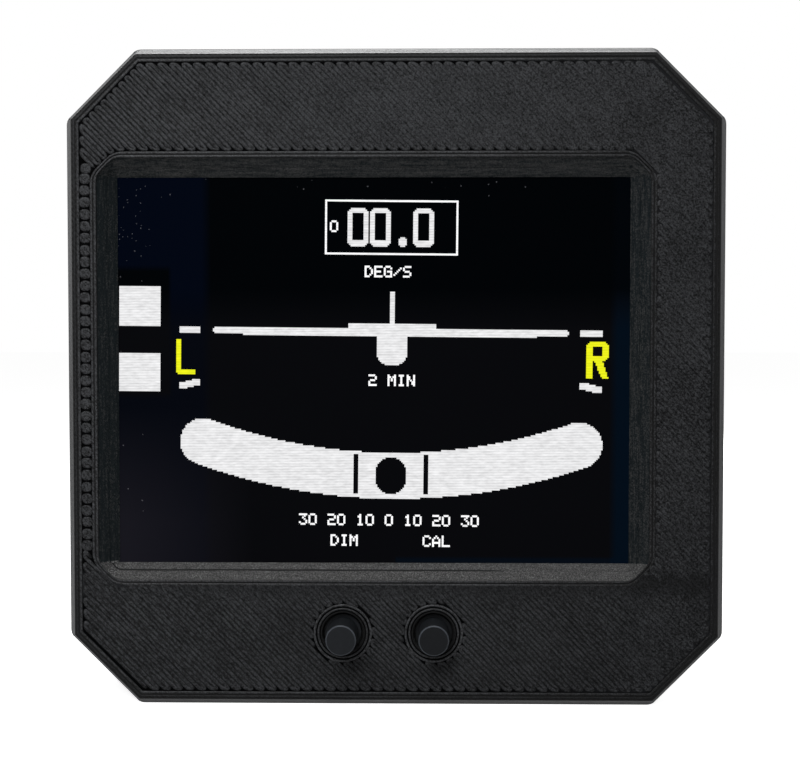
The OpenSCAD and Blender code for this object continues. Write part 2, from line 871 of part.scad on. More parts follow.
// The chip that senses the rate of turn
module rate_sensor() {
    color([0.15, 0.15, 0.17])
        translate([sensor_place[0], 0, sensor_place[1]])
            slab(power_y - sensor_size[1], power_y) box_outline(sensor_size[0], sensor_size[0], 0.3);
}

// The coil of the supply, a drum between two square plates
module power_inductor() {
    color([0.3, 0.3, 0.32])
        union() {
            for (y = [power_y - coil_h, power_y - coil_plate_t])
                translate([coil_place[0], 0, coil_place[1]])
                    slab(y, y + coil_plate_t) box_outline(coil_w, coil_w, coil_plate_r);
            rod(coil_place, power_y - coil_h + coil_plate_t / 2, power_y - coil_plate_t / 2, coil_drum_d);
        }
}

// The two tall filter capacitors
module filter_capacitors() {
    r = capacitor_d / 2;
    g = capacitor_groove;
    color([0.1, 0.12, 0.3])
        for (side = [-1, 1])
            turned_shape([capacitor_place[0], side * capacitor_place[1]], power_y,
                         [[0, 0], [r, 0], [r, 3.5 * g], [r - g, 4.5 * g], [r, 5.5 * g],
                          [r, capacitor_len - g], [r - g, capacitor_len], [0, capacitor_len]]);
}

// The regulator, with its heat tab and three legs
module voltage_regulator() {
    color([0.15, 0.15, 0.15])
        translate([regulator_place[0] - regulator_size[0] / 2, power_y,
                   regulator_place[1] - regulator_size[2] / 2]) {
            translate([0, -regulator_size[1], 0])
                cube(regulator_size - [0, chip_gap, 0]);
            translate([0, -regulator_tab[1], regulator_size[2] - eps])
                cube(regulator_tab);
            for (k = [-1:1])
                translate([(regulator_size[0] - regulator_leg[0]) / 2 + k * regulator_leg_pitch,
                           -regulator_leg[1], eps - regulator_leg[2]])
                    cube(regulator_leg);
        }
}

// The hexagon posts between the power board and the rear cover
module board_standoffs() {
    color("goldenrod")
        for (p = standoff_places)
            difference() {
                translate([p[0], cover_y, p[1]])
                    rotate([90, 0, 0])
                        cylinder(h = standoff_len, d = standoff_af / cos(30), $fn = 6);
                rod(p, power_back_y - eps, cover_y + eps, cover_bore_d);
            }
}

// The screws in both ends of those posts
module standoff_screws() {
    color("silver")
        for (p = standoff_places) {
            pan_screw(p, cover_back_y, cover_screw_d, standoff_screw_len + cover_t - board_t);
            translate([0, power_y, 0])
                scale([1, -1, 1])
                    pan_screw(p, 0, cover_screw_d, standoff_screw_len);
        }
}

// The inserts in the bosses of the round case
module cover_inserts() {
    color("goldenrod")
        for (p = cover_screw_places)
            insert(p, cover_y - cover_insert_len, cover_y, cover_insert_d, cover_bore_d);
}

// The screws that hold the rear cover on
module cover_screws() {
    color("silver")
        for (p = cover_screw_places)
            pan_screw(p, cover_back_y, cover_screw_d, cover_screw_len + cover_t - 0.5);
}

// The steel shell and flange of the plug
module plug_shell() {
    color("silver")
        difference() {
            union() {
                slab(cover_y - plug_flange_t, cover_y)
                    box_outline(plug_flange[0], plug_flange[1], plug_flange_r);
                slab(cover_y - eps, cover_y + plug_reach) plug_outline();
            }
            slab(cover_y - plug_flange_t - eps, cover_y + plug_reach + eps) plug_outline(plug_skin);
            for (side = [-1, 1])
                rod([side * jack_pitch / 2, 0], cover_y - plug_flange_t - eps, cover_y + eps, jack_hole_d);
        }
}

// The moulded insulator inside the shell, from the board to the mating face
module plug_insulator() {
    color([0.1, 0.1, 0.1])
        difference() {
            union() {
                slab(power_back_y, cover_y - plug_flange_t)
                    box_outline(insulator_base[0], insulator_base[1], 1);
                slab(power_back_y, cover_y + plug_reach - 0.4) plug_outline(plug_skin + fit_gap);
            }
            for (p = contact_places)
                rod(p, power_back_y - eps, cover_y + plug_reach, contact_d + 2 * fit_gap);
        }
}

// The nine contacts, each a socket at the back and a solder tail in the board
module plug_contacts() {
    end_y = cover_y + plug_reach - 0.8;
    color("gold")
        for (p = contact_places)
            difference() {
                union() {
                    rod(p, power_back_y, end_y, contact_d);
                    rod(p, power_y - 1, power_back_y + eps, tail_d);
                }
                rod(p, end_y - contact_bore_len, end_y + eps, contact_bore_d);
            }
}

// The two hexagon posts that the cable's screws go into
module plug_jack_posts() {
    color("silver")
        for (side = [-1, 1])
            difference() {
                union() {
                    translate([side * jack_pitch / 2, cover_back_y + jack_len, 0])
                        rotate([90, 0, 0])
                            cylinder(h = jack_len, d = jack_af / cos(30), $fn = 6);
                    rod([side * jack_pitch / 2, 0], cover_y - plug_flange_t - jack_reach, cover_back_y + eps,
                        jack_hole_d - 2 * fit_gap);
                }
                rod([side * jack_pitch / 2, 0], cover_back_y - jack_bore_sink, cover_back_y + jack_len + eps,
                    jack_bore_d);
            }
}

front_bezel();
rear_housing();
rear_cover();
lcd_glass();
backlight_tray();
light_guide();
display_tape();
display_tail();
tail_connector();
display_board();
processor_chip();
clock_crystal();
switch_bodies();
switch_covers();
switch_domes();
switch_legs();
dim_plunger();
dim_button();
cal_plunger();
cal_button();
case_inserts();
case_screws();
panel_inserts();
board_screws();
link_headers();
link_sockets();
link_ribbon();
power_board();
rate_sensor();
power_inductor();
filter_capacitors();
voltage_regulator();
board_standoffs();
standoff_screws();
cover_inserts();
cover_screws();
plug_shell();
plug_insulator();
plug_contacts();
plug_jack_posts();
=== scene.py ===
"""Looks of an electronic turn coordinator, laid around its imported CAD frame.

The printed face is laid bead by bead and the display's picture is built pixel by pixel. Every CAD
node keeps its shape and gets a procedural finish. Lengths are in metres, in the frame of the CAD.
"""

import math
import random

import bmesh
import bpy
from bpy.props import FloatProperty, FloatVectorProperty, IntProperty, PointerProperty
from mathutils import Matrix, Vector, noise


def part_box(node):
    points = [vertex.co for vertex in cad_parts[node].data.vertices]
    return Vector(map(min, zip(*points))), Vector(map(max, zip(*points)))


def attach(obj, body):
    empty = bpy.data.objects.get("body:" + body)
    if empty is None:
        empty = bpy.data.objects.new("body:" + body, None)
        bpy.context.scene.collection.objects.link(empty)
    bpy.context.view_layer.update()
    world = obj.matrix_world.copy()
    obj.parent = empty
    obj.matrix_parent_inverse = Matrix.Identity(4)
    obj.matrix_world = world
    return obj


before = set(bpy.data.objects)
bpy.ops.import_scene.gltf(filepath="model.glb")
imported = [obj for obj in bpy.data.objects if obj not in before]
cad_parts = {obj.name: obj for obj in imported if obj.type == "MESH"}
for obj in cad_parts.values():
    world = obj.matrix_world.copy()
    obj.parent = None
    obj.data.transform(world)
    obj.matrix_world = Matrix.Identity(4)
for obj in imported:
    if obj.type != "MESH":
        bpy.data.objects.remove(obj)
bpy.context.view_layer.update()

bl_info = {
    "name": "Turn coordinator",
    "version": (1, 0, 0),
    "blender": (4, 5, 0),
    "location": "View3D > Sidebar > Turn coordinator",
    "description": "Dresses the turn coordinator's CAD frame",
    "category": "Object",
}

MM = 0.001
BODY = "instrument"
SEED = 31
WIRE_PITCH = 1.27 * MM

BEZEL_LOW, BEZEL_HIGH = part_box("front_bezel")
FACE_Y = BEZEL_LOW.y
GLASS_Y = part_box("lcd_glass")[0].y
HALF = BEZEL_HIGH.x
CASE_LOW, CASE_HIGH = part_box("rear_cover")
CASE_RADIUS = (CASE_HIGH.z - CASE_LOW.z) / 2


def amount(name, description, value, **settings):
    return FloatProperty(name=name, description=description, default=value, **settings)


def length(name, description, millimetres):
    return amount(name, description, millimetres * MM, unit="LENGTH", precision=5)


def spot(name, description, value):
    return FloatVectorProperty(name=name, description=description, default=value, subtype="XYZ",
                               unit="LENGTH")


def colour(name, description, value):
    return FloatVectorProperty(name=name, description=description, default=value,
                               subtype="COLOR", size=3, min=0, max=1)


# Sizes and colours


class BezelSizes(bpy.types.PropertyGroup):
    """Sizes of the printed bezel that the beads and steps follow."""
    corner_cut: length("Corner cut", "Leg of the cut at each corner", 8.95)
    corner_round: length("Corner rounding", "Radius where a cut meets a side", 1.2)
    side_bevel: length("Side bevel", "Front bevel on the straight sides", 0.65)
    cut_bevel: length("Cut bevel", "Front bevel on the cut corners", 0.35)
    screen_x: length("Picture centre X", "Middle of the lit area from the case axis", -2.8)
    screen_z: length("Picture centre Z", "Middle of the lit area from the case axis", 1.1)
    screen_width: length("Picture width", "Width of the lit area", 64.8)
    screen_height: length("Picture height", "Height of the lit area", 48.6)
    window_slope: length("Window slope", "How much wider the window is at the face", 2.7)
    foot_slope: length("Lower slope", "The same below the picture", 2.25)
    window_foot: length("Window foot", "How far the window reaches below the lit area", 0.3)
    window_cut: length("Window cut", "Leg of the cut that the window's corners have", 2.55)
    window_round: length("Window rounding", "Rounding of the ends of those cuts", 2.4)
    window_land: length("Window land", "Straight part of the window next to the glass", 0.3)
    hole_radius: length("Hole radius", "Radius of the two button holes", 2.6)


class PrintSizes(bpy.types.PropertyGroup):
    """How the filament is laid on the bezel."""
    layer: length("Layer", "Height of a printed layer", 0.2)
    infill_pitch: length("Line pitch", "Distance between the lines of the face", 0.527)
    infill_width: length("Line width", "Half the width of a line of the face", 0.264)
    infill_merge: length("Line merging", "How much wider half a line is at the upper right", 0.082)
    infill_height: length("Line height", "How far a line stands above the face", 0.14)
    infill_inset: length("Line inset", "Where the lines turn, from the bezel's edge", 1.97)
    cut_shift: length("Cut shift", "How much nearer the lines come to the cut corners", 0.3)
    outer_bead: length("Outer bead", "Middle of the outer wall line from the edge", 1.00)
    inner_bead: length("Inner bead", "Middle of the second wall line from the edge", 1.475)
    bead_width: length("Wall line width", "Half the width of a wall line", 0.18)
    window_bead: length("Window bead", "Middle of the outer line around the window", 0.24)
    window_rim: length("Window rim", "Middle of the line on the window's own edge", -0.20)
    window_gap: length("Window gap", "Where the face's lines turn at the window", 0.62)
    short_line: length("Short line", "Lines shorter than this swell, as they do when printed", 2.0)
    swell: length("Swell", "How much wider half a short line is", 0.03)
    pinch: length("Pinch", "How much narrower half a line is where it turns", 0.045)
    dab_width: length("Dab width", "Half the width of a dab left of the window", 0.76)
    dab_height: length("Dab height", "Half the height of such a dab", 0.73)
    hole_gap: length("Hole gap", "Where the face's lines turn at a button hole", 1.27)
    turn_round: length("Turn rounding", "Length of the rounding where a line turns", 0.32)


class PictureSizes(bpy.types.PropertyGroup):
    """The display's picture."""
    columns: IntProperty(name="Columns", description="Pixels across the picture", default=320)
    rows: IntProperty(name="Rows", description="Pixels down the picture", default=240)
    tilt: amount("Tilt", "Turn of the picture on the glass", math.radians(-0.57), unit="ROTATION")
    lift: length("Lift", "How far the lit pixels stand in front of the glass", 0.015)
    bloom: amount("Bloom", "How far thin strokes spread, in pixels", 0.10)


class Paints(bpy.types.PropertyGroup):
    """Colours of the finishes, linear."""
    filament: colour("Filament", "Black printing filament", (0.024, 0.025, 0.027))
    key: colour("Keys", "Moulded black plastic of the push buttons", (0.016, 0.018, 0.021))
    glass: colour("Glass", "Unlit display", (0.0002, 0.0004, 0.0007))
    lit: colour("Lit white", "White pixels", (0.80, 0.80, 0.81))
    lit_yellow: colour("Lit yellow", "Yellow pixels", (0.87, 0.95, 0.007))
    solder_mask: colour("Solder mask", "Green lacquer of the boards", (0.01, 0.12, 0.05))
    steel: colour("Steel", "Plated steel", (0.55, 0.55, 0.56))
    brass: colour("Brass", "Turned brass", (0.72, 0.5, 0.2))
    gold: colour("Gold", "Gold plated contacts", (0.83, 0.6, 0.22))
    white_plastic: colour("White plastic", "Backlight tray and connector", (0.8, 0.8, 0.76))
    black_plastic: colour("Black plastic", "Moulded plastic of the parts", (0.02, 0.02, 0.022))
    film: colour("Film", "Amber film of the display's tail", (0.6, 0.28, 0.06))
    foam: colour("Foam", "Adhesive foam tape", (0.05, 0.05, 0.05))
    ribbon: colour("Ribbon", "Sheath of the ribbon cable", (0.32, 0.32, 0.34))
    ferrite: colour("Ferrite", "Core of the inductor", (0.06, 0.06, 0.065))
    sleeve: colour("Sleeve", "Shrink sleeve of the capacitors", (0.01, 0.015, 0.06))
    acrylic: colour("Acrylic", "Light guide", (0.75, 0.8, 0.82))


class StageSizes(bpy.types.PropertyGroup):
    """Camera, lamps and floor."""
    camera_at: spot("Camera", "Place of the camera", (0.00453, -0.2138, 0.0078))
    camera_aim: spot("Aim", "Point that camera and lamps aim at", (0.00061, -0.014, -0.00067))
    lens: amount("Lens", "Focal length on a 36 mm sensor", 71.68)
    ambient: amount("Ambient", "White of the surroundings on matt faces", 0.22)
    key_power: amount("Key", "Power of the lamp at the upper left", 1.2, unit="POWER")
    top_power: amount("Top", "Power of the lamp above", 0.8, unit="POWER")
    rear_power: amount("Rear", "Power of the lamp behind", 1.4, unit="POWER")
    floor_size: length("Floor", "Width of the floor", 4000)


# Shader helpers


class Wire:
    """A shader socket in an expression: each operator on it adds its Math node."""

    def __init__(self, graph, socket):
        self.graph = graph
        self.socket = socket

    def pick(self, name):
        return Wire(self.graph, self.socket.node.outputs[name])

    def maths(self, operation, *values, **settings):
        return self.graph.node("Math", dict(enumerate(values)), operation=operation, **settings)

    def __add__(self, other):
        return self.maths("ADD", self, other)

    __radd__ = __add__

    def __sub__(self, other):
        return self.maths("SUBTRACT", self, other)

    def __rsub__(self, other):
        return self.maths("SUBTRACT", other, self)

    def __mul__(self, other):
        return self.maths("MULTIPLY", self, other)

    __rmul__ = __mul__

    def __truediv__(self, other):
        return self.maths("DIVIDE", self, other)

    def __gt__(self, other):
        return self.maths("GREATER_THAN", self, other)

    def __lt__(self, other):
        return self.maths("LESS_THAN", self, other)

    def __abs__(self):
        return self.maths("ABSOLUTE", self)

    def root(self):
        return self.maths("SQRT", self)

    def fraction(self):
        return self.maths("FRACT", self)

    def clamped(self):
        return self.maths("ADD", self, 0, use_clamp=True)

    def ridges(self, pitch):
        """Rounded ridges of that pitch, 0 in the grooves and 1 on the crests."""
        across = (self / pitch).fraction() * 2 - 1
        return 1 - across * across

    def band(self, low, high, soft):
        """1 between low and high, with soft edges."""
        return ((self - low) / soft).clamped() * ((high - self) / soft).clamped()


class Graph:
    """A node tree: node() adds any node, sets its settings and then the values or links of its
    sockets, and gives its first output back as a Wire."""

    def __init__(self, tree):
        self.tree = tree
        tree.nodes.clear()

    def node(self, kind, inputs=None, **settings):
        made = self.tree.nodes.new("ShaderNode" + kind)
        for key, value in settings.items():
            setattr(made, key, value)
        for key, value in (inputs or {}).items():
            self.feed(self.socket(made, key), value)
        shown = [output for output in made.outputs if output.enabled]
        return Wire(self, shown[0]) if shown else None

    @staticmethod
    def socket(node, key):
        if isinstance(key, int):
            return node.inputs[key]
        return next(item for item in node.inputs if item.enabled and item.name == key)

    def feed(self, socket, value):
        if isinstance(value, Wire):
            self.tree.links.new(value.socket, socket)
        elif socket.type == "RGBA":
            socket.default_value = (*value, 1)
        else:
            socket.default_value = value

    def mix(self, factor, first, second):
        return self.node("Mix", {"Factor": factor, "A": first, "B": second}, data_type="RGBA")

    def shades(self, factor, colour, first, second):
        """From one shade of a colour to another."""
        return self.mix(factor, shade(colour, first), shade(colour, second))


class Finish(Graph):
    """A procedural material. fixed holds the sockets that are the same all over."""

    def __init__(self, name, fixed):
        self.material = bpy.data.materials.new(name)
        self.material.use_nodes = True
        super().__init__(self.material.node_tree)
        shader = self.node("BsdfPrincipled", fixed)
        self.surface = shader.socket.node
        self.node("OutputMaterial", {"Surface": shader})
        self.place = self.node("TexCoord").pick("Object")
        self.facing = self.place.pick("Normal")

    def axes(self, vector):
        split = self.node("SeparateXYZ", {"Vector": vector})
        return [split.pick(name) for name in "XYZ"]

    def cloud(self, size, detail=2.0, roughness=0.5, stretch=(1, 1, 1)):
        """Noise from 0 to 1 with features of about that size."""
        at = self.node("VectorMath", {0: self.place, 1: stretch}, operation="MULTIPLY")
        return self.node("TexNoise", {"Vector": at, "Scale": 1 / size, "Detail": detail,
                                      "Roughness": roughness})

    def specks(self, size, reach, share):
        """1 on sparse small dots: one in a cell of that size, kept in a share of the cells."""
        cells = self.node("TexVoronoi", {"Vector": self.place, "Scale": 1 / size})
        chance = self.axes(cells.pick("Color"))[0]
        return (cells < reach) * (chance < share)

    def paint(self, **sockets):
        names = {"base": "Base Color", "rough": "Roughness", "metal": "Metallic",
                 "coat": "Coat Weight", "glow": "Emission Color"}
        for key, value in sockets.items():
            self.feed(self.surface.inputs[names[key]], value)

    def emboss(self, height, distance, strength=1.0):
        bump = self.node("Bump", {"Height": height, "Distance": distance, "Strength": strength})
        self.feed(self.surface.inputs["Normal"], bump)


def shade(colour, factor):
    return tuple(min(1.0, channel * factor) for channel in colour)


def grey(value):
    return (value, value, value)


# Finishes


def printed_wall(paints, sizes):
    """Black filament: layers round the walls with the slight steps between one batch of them and
    the next, and 45 degree lines inside a few round ones on faces along the case axis. Painted
    shade darkens the grooves between layers and lines, and the face under the laid lines."""
    made = Finish("printed_wall", {"Specular IOR Level": 0.16})
    x, y, z = made.axes(made.place)
    flat = abs(made.axes(made.facing)[1]) > 0.9
    radius = (x * x + z * z).root()
    round_lines = (radius > CASE_RADIUS - 1.4 * MM) * (y > CASE_HIGH.y - 1 * MM)
    straight = ((x + z) * math.sqrt(0.5)).ridges(sizes.infill_pitch)
    lines = straight + (radius.ridges(sizes.infill_pitch) - straight) * round_lines
    layers = y.ridges(sizes.layer)
    batches = made.cloud(0.7 * MM, 3.0, 0.7, (0.01, 1, 0.01))
    ridge = layers * (1 - flat) + lines * flat
    mottle = made.cloud(3 * MM, 4.0, 0.6)
    grain = made.cloud(0.22 * MM, 2.0, 0.6)
    # painted shade: the crests of the layers and lines are lighter and the grooves between them
    # darker
    tone = ridge * 0.55 + (mottle - 0.5) * 0.7 + (grain - 0.5) * 0.9
    tone = tone + (batches - 0.5) * (1 - flat) * 1.6 + 0.1
    wall = made.shades(tone.clamped(), paints.filament, 0.4, 1.7)
    # painted shade: the face under the laid lines, at the floor of the grooves between them, is
    # near black
    painted_groove_shade = flat * (y < FACE_Y + 0.05 * MM)
    made.paint(base=made.mix(painted_groove_shade, wall, shade(paints.filament, 0.06)),
               rough=0.62 - ridge * 0.14 + batches * 0.1)
    made.emboss(ridge + grain * 0.1 + batches * (1 - flat), 0.05 * MM, 0.8)
    return made.material


def printed_bead(name, paints, sizes, light, level, coat, painted_right_shade):
    """The same filament on the laid lines of the face: rougher flanks with painted shade that
    deepens into the grooves, and slightly glossy crests, with fine streaks along the lines, drawn
    stronger towards the left as painted highlights, and a crumbly grain. Painted shade makes it
    darker low down, and towards the right by the given amount."""
    made = Finish(name, {"Specular IOR Level": level, "Coat Roughness": 0.4})
    x, y, z = made.axes(made.place)
    rise = ((FACE_Y - y) / sizes.infill_height).clamped()
    mottle = made.cloud(6 * MM, 3.0)
    along = made.node("CombineXYZ", {"X": (x + z) * math.sqrt(0.5), "Y": y,
                                     "Z": (x - z) * (math.sqrt(0.5) / 4)})
    streak = made.node("TexNoise", {"Vector": along, "Scale": 1 / (0.16 * MM), "Detail": 3.0,
                                    "Roughness": 0.65})
    grain = made.cloud(0.18 * MM, 2.0, 0.6)
    # painted highlights: the streaks are drawn stronger towards the left
    streak_and_left_highlight = ((x / HALF + 0.2) * -2).clamped() * 2.2 + 0.6
    tone = (grain - 0.5) * 3.2 + (streak - 0.5) * streak_and_left_highlight + (mottle - 0.5) * 0.3 + 0.60
    # painted shade: darker low down and towards the right, and through rise squared down the flanks
    # into the grooves
    low = (z / HALF * -1 - 0.1).clamped()
    right = ((x / HALF - 0.2) * 1.25).clamped()
    tone = rise * rise * (tone - right * painted_right_shade - low * 0.14)
    made.paint(base=made.shades(tone.clamped(), paints.filament, 0.06, light),
               rough=0.60 - rise * 0.08 + grain * 0.10,
               coat=rise * rise * (1 - right * 0.8) * coat)
    made.emboss(streak * 0.6 + grain * 0.8, 0.07 * MM, 0.8)
    return made.material


def dull_filament(paints):
    """The same filament painted near black as shade at the bottom of the pits between the lines,
    where no light gets; the painted shade is less deep towards the right and below the window.
    """
    made = Finish("dull_filament", {"Specular IOR Level": 0.0, "Roughness": 0.9})
    x, _, z = made.axes(made.place)
    # the painted shade is less deep towards the right and below the window
    below = z.band(-0.68 * HALF, -0.585 * HALF, 0.03 * HALF)
    light = (x / HALF - 0.3).clamped() + below * 0.8 + made.cloud(0.5 * MM) * 0.15
    made.paint(base=made.shades(light.clamped(), paints.filament, 0.02, 0.75))
    return made.material


def printed_edge(paints):
    """The same filament on the steps of the front edge."""
    made = Finish("printed_edge", {"Specular IOR Level": 0.5, "Coat Roughness": 0.3})
    right = made.axes(made.facing)[0] > 0.3
    mottle = made.cloud(3 * MM, 3.0)
    grain = made.cloud(0.22 * MM, 3.0, 0.65)
    made.paint(base=made.shades((mottle * 0.5 + grain * 0.5).clamped(), paints.filament, 0.4, 1.1),
               rough=0.28 + grain * 0.12, coat=1 - right * 0.85)
    made.emboss(grain, 0.04 * MM, 0.8)
    return made.material


def printed_slope(paints, sizes):
    """The smoother filament of the window's slopes: mottled and streaked along each slope, finer on
    the lower one, with painted light on the upper and lower slopes, most on the lower one with
    painted highlights, painted shade on the left slope, and on the lower one the seam of one layer
    as a painted dark line for the shade in its groove, and a scuffed left mitre there."""
    made = Finish("printed_slope", {"Specular IOR Level": 0.06})
    x, y, z = made.axes(made.place)
    level = abs(made.axes(made.facing)[2])
    upright = made.cloud(0.22 * MM, 3.0, 0.6, (1, 1, 0.06))
    lying = made.cloud(0.28 * MM, 3.0, 0.6, (0.1, 1, 1))
    streak = upright + (lying - upright) * (level > 0.3)
    mottle = made.cloud(0.45 * MM, 4.0, 0.65)
    lit_side = made.axes(made.facing)[2] > 0.3
    grain = made.cloud(0.18 * MM, 2.0, 0.6)
    painted_left_wall_shade = made.axes(made.facing)[0] > 0.3
    fine = made.cloud(0.11 * MM, 1.0) - 0.5
    noise = (mottle - 0.5) * (1.1 - lit_side * 0.7) + (streak - 0.5) * (1.5 - lit_side * 0.9)
    noise = noise + (grain - 0.5) * 1.8 + lit_side * fine * 1.8
    # painted shade darkens the left slope; the next line adds painted light to the upper and lower
    # slopes, most to the lower one
    tone = noise * (lit_side * 1.3 + 1) + 0.13 - painted_left_wall_shade * 0.15
    tone = tone + (level > 0.3) * 0.22 + lit_side * 0.36
    foot = sizes.screen_z - sizes.screen_height / 2 - sizes.window_foot
    depth = GLASS_Y - sizes.window_land - FACE_Y
    # painted shade: a dark line along the seam of one layer on the lower slope stands for the shade
    # in its groove
    seam_y = FACE_Y + depth * 0.61 + (made.cloud(4 * MM) - 0.5) * (0.10 * MM)
    seam = ((1 - abs(y - seam_y) / (0.11 * MM)) * 2).clamped() * (z < foot)
    seam = seam * ((14 * MM - x) / (2 * MM)).clamped()
    # painted light: lighter shades on the lower slope, which faces up; the cool dark end on the
    # other slopes is a painted reflection
    filament = made.mix(tone.clamped(), made.mix(lit_side, (0.004, 0.006, 0.007), grey(0.017)),
                        made.mix(lit_side, grey(0.040), grey(0.047)))
    left = sizes.screen_x - sizes.screen_width / 2
    mitre = (z < foot + 0.25 * MM) * x.band(left - 1.7 * MM, left + 0.1 * MM, 0.5 * MM)
    scuff = made.cloud(0.16 * MM, 2.0, 0.6, (1, 1, 0.3))
    # painted highlights on the lower slope, and a scuff on the left mitre
    highlights_and_scuffs = lit_side * (noise - 0.16) * 2.2 + mitre * (scuff - 0.47) * 9
    filament = made.mix(highlights_and_scuffs.clamped(), filament, (0.105, 0.105, 0.106))
    made.paint(base=made.mix(seam * 0.9, filament, shade(paints.filament, 0.1)),
               rough=0.36 + mottle * 0.12)
    made.emboss(mottle + streak, 0.05 * MM, 0.7)
    return made.material


def moulded_key(paints):
    """Satin plastic with a fine spark-eroded grain, with painted shade down its sides and a painted
    highlight along the bevel. The right key is darker than the left one."""
    made = Finish("moulded_key", {"Specular IOR Level": 0.08})
    grain = made.cloud(0.09 * MM, 2.0)
    mottle = made.cloud(0.4 * MM, 3.0)
    front = made.axes(made.facing)[1] * -1
    # painted highlight along the bevel
    bevel_highlight = front.band(0.35, 0.97, 0.12)
    left, right = hole_centres()
    right_key = made.axes(made.place)[0] > (left.x + right.x) / 2
    dark = made.shades(right_key, paints.key, 0.4, 0.22)
    face = made.mix(mottle, dark, made.shades(right_key, paints.key, 0.75, 0.5))
    # painted shade down the key's sides
    moulding = made.mix((front * 4).clamped(), shade(paints.key, 0.4), face)
    made.paint(base=made.mix(bevel_highlight * (0.4 + mottle), moulding, shade(paints.key, 2.6)),
               rough=0.40 + grain * 0.12)
    made.emboss(grain, 0.01 * MM, 0.7)
    return made.material


def unlit_glass(paints, sizes):
    """Near-black display: its backlight shows through a little more over the lower half and its
    lower left corner, bluish along both sides, and some dust lies in the upper left corner."""
    made = Finish("unlit_glass", {"Specular IOR Level": 0.004, "Emission Strength": 1.0})
    x, _, z = made.axes(made.place)
    left = sizes.screen_x - sizes.screen_width / 2
    right = sizes.screen_x + sizes.screen_width / 2
    foot = sizes.screen_z - sizes.screen_height / 2
    top = foot + sizes.screen_height
    lower = ((top - 14 * MM - z) / (5 * MM)).clamped()
    blocks = x.band(left - 5 * MM, left + 6.8 * MM, 0.5 * MM)
    blocks = blocks * z.band(top - 28 * MM, top - 11 * MM, 0.8 * MM)
    at_left = ((left + 11.8 * MM - x) / (1.2 * MM)).clamped() * (1 - blocks)
    at_left = at_left * (1 - lower * 0.55)
    at_right = ((x - right + 2.5 * MM) / (1.0 * MM)).clamped() * (lower * 0.9 + 0.1)
    at_foot = z.band(foot - 1 * MM, foot + 0.55 * MM, 0.4 * MM) * (x > 0) * 0.6
    corner = ((top - 29 * MM - z) / (15 * MM)).clamped()
    corner = corner * ((left + 17 * MM - x) / (16 * MM)).clamped()
    glow = made.mix(lower, (0.0002, 0.0004, 0.0006), (0.0022, 0.0021, 0.0026))
    glow = made.mix(at_left, glow, (0.0004, 0.0014, 0.0052))
    glow = made.mix(corner, glow, (0.0085, 0.0080, 0.0115))
    glow = made.mix((at_right + at_foot).clamped(), glow, (0.0008, 0.0036, 0.0085))
    near_edge = ((x < left + 3 * MM) + (z > top - 2.5 * MM)).clamped()
    dust = made.specks(0.9 * MM, 0.10, 0.45) * near_edge
    in_corner = (x < left + 5 * MM) * (z > top - 9 * MM)
    dust = dust + made.specks(0.55 * MM, 0.13, 0.4) * in_corner
    made.paint(base=made.mix(dust.clamped(), paints.glass, (0.05, 0.05, 0.055)),
               rough=0.30 + made.cloud(3 * MM, 2.0) * 0.1, glow=glow)
    return made.material


def lit_pixels(name, colour, strength, sizes, picture):
    """Pixels that give their own light, with fine bands along the rows and slightly uneven."""
    made = Finish(name, {"Specular IOR Level": 0.02, "Base Color": (0.004, 0.004, 0.004),
                         "Emission Strength": strength, "Roughness": 0.4})
    x, _, z = made.axes(made.place)
    row = sizes.screen_height / picture.rows
    lines = (z * math.cos(picture.tilt) + x * math.sin(picture.tilt)).ridges(row * BAND_ROWS)
    uneven = made.cloud(0.3 * MM, 3.0, 0.6, (0.3, 1, 1))
    light = lines * 0.5 + (uneven - 0.5) * 1.6 + 0.15
    made.paint(glow=made.shades(light.clamped(), colour, 0.80, 1.22))
    return made.material


def plain_plastic(name, colour, gloss, grain_size=0.12 * MM, grain_depth=0.01 * MM, level=0.35):
    """Moulded plastic: fine grain, and a slight unevenness of its colour."""
    made = Finish(name, {"Specular IOR Level": level})
    grain = made.cloud(grain_size, 2.0)
    mottle = made.cloud(5 * MM, 3.0)
    made.paint(base=made.shades(mottle, colour, 0.85, 1.08), rough=gloss + grain * 0.12)
    made.emboss(grain, grain_depth, 0.6)
    return made.material


def metal(name, colour, rough, brush=(1, 1, 1), depth=0.004 * MM):
    """Plated or turned metal: fine tool marks along brush, duller in patches."""
    made = Finish(name, {"Metallic": 1.0})
    marks = made.cloud(0.25 * MM, 3.0, 0.6, brush)
    patch = made.cloud(2.5 * MM, 3.0)
    made.paint(base=made.mix(patch, shade(colour, 0.82), colour),
               rough=rough + marks * 0.14 + patch * 0.08)
    made.emboss(marks, depth, 0.6)
    return made.material


def board_lacquer(paints):
    """Green lacquer over copper tracks on a square grid, with bare pads here and there."""
    made = Finish("board_lacquer", {"Specular IOR Level": 0.5})
    x, _, z = made.axes(made.place)
    cells = made.node("TexVoronoi", {"Vector": made.place, "Scale": 1 / (2.4 * MM),
                                     "Randomness": 0.8}, distance="CHEBYCHEV")
    tracks = (cells * 5).fraction().band(0.25, 0.75, 0.12)
    pads = made.specks(3.1 * MM, 0.13, 0.5)
    weave = (x.ridges(0.5 * MM) + z.ridges(0.5 * MM)) * 0.5
    lacquer = made.shades((tracks * 0.8 + weave * 0.15).clamped(), paints.solder_mask, 0.6, 1.3)
    made.paint(base=made.mix(pads, lacquer, paints.gold), rough=0.30 + weave * 0.08,
               metal=pads * 0.9)
    made.emboss(tracks + pads * 0.5, 0.03 * MM, 0.5)
    return made.material


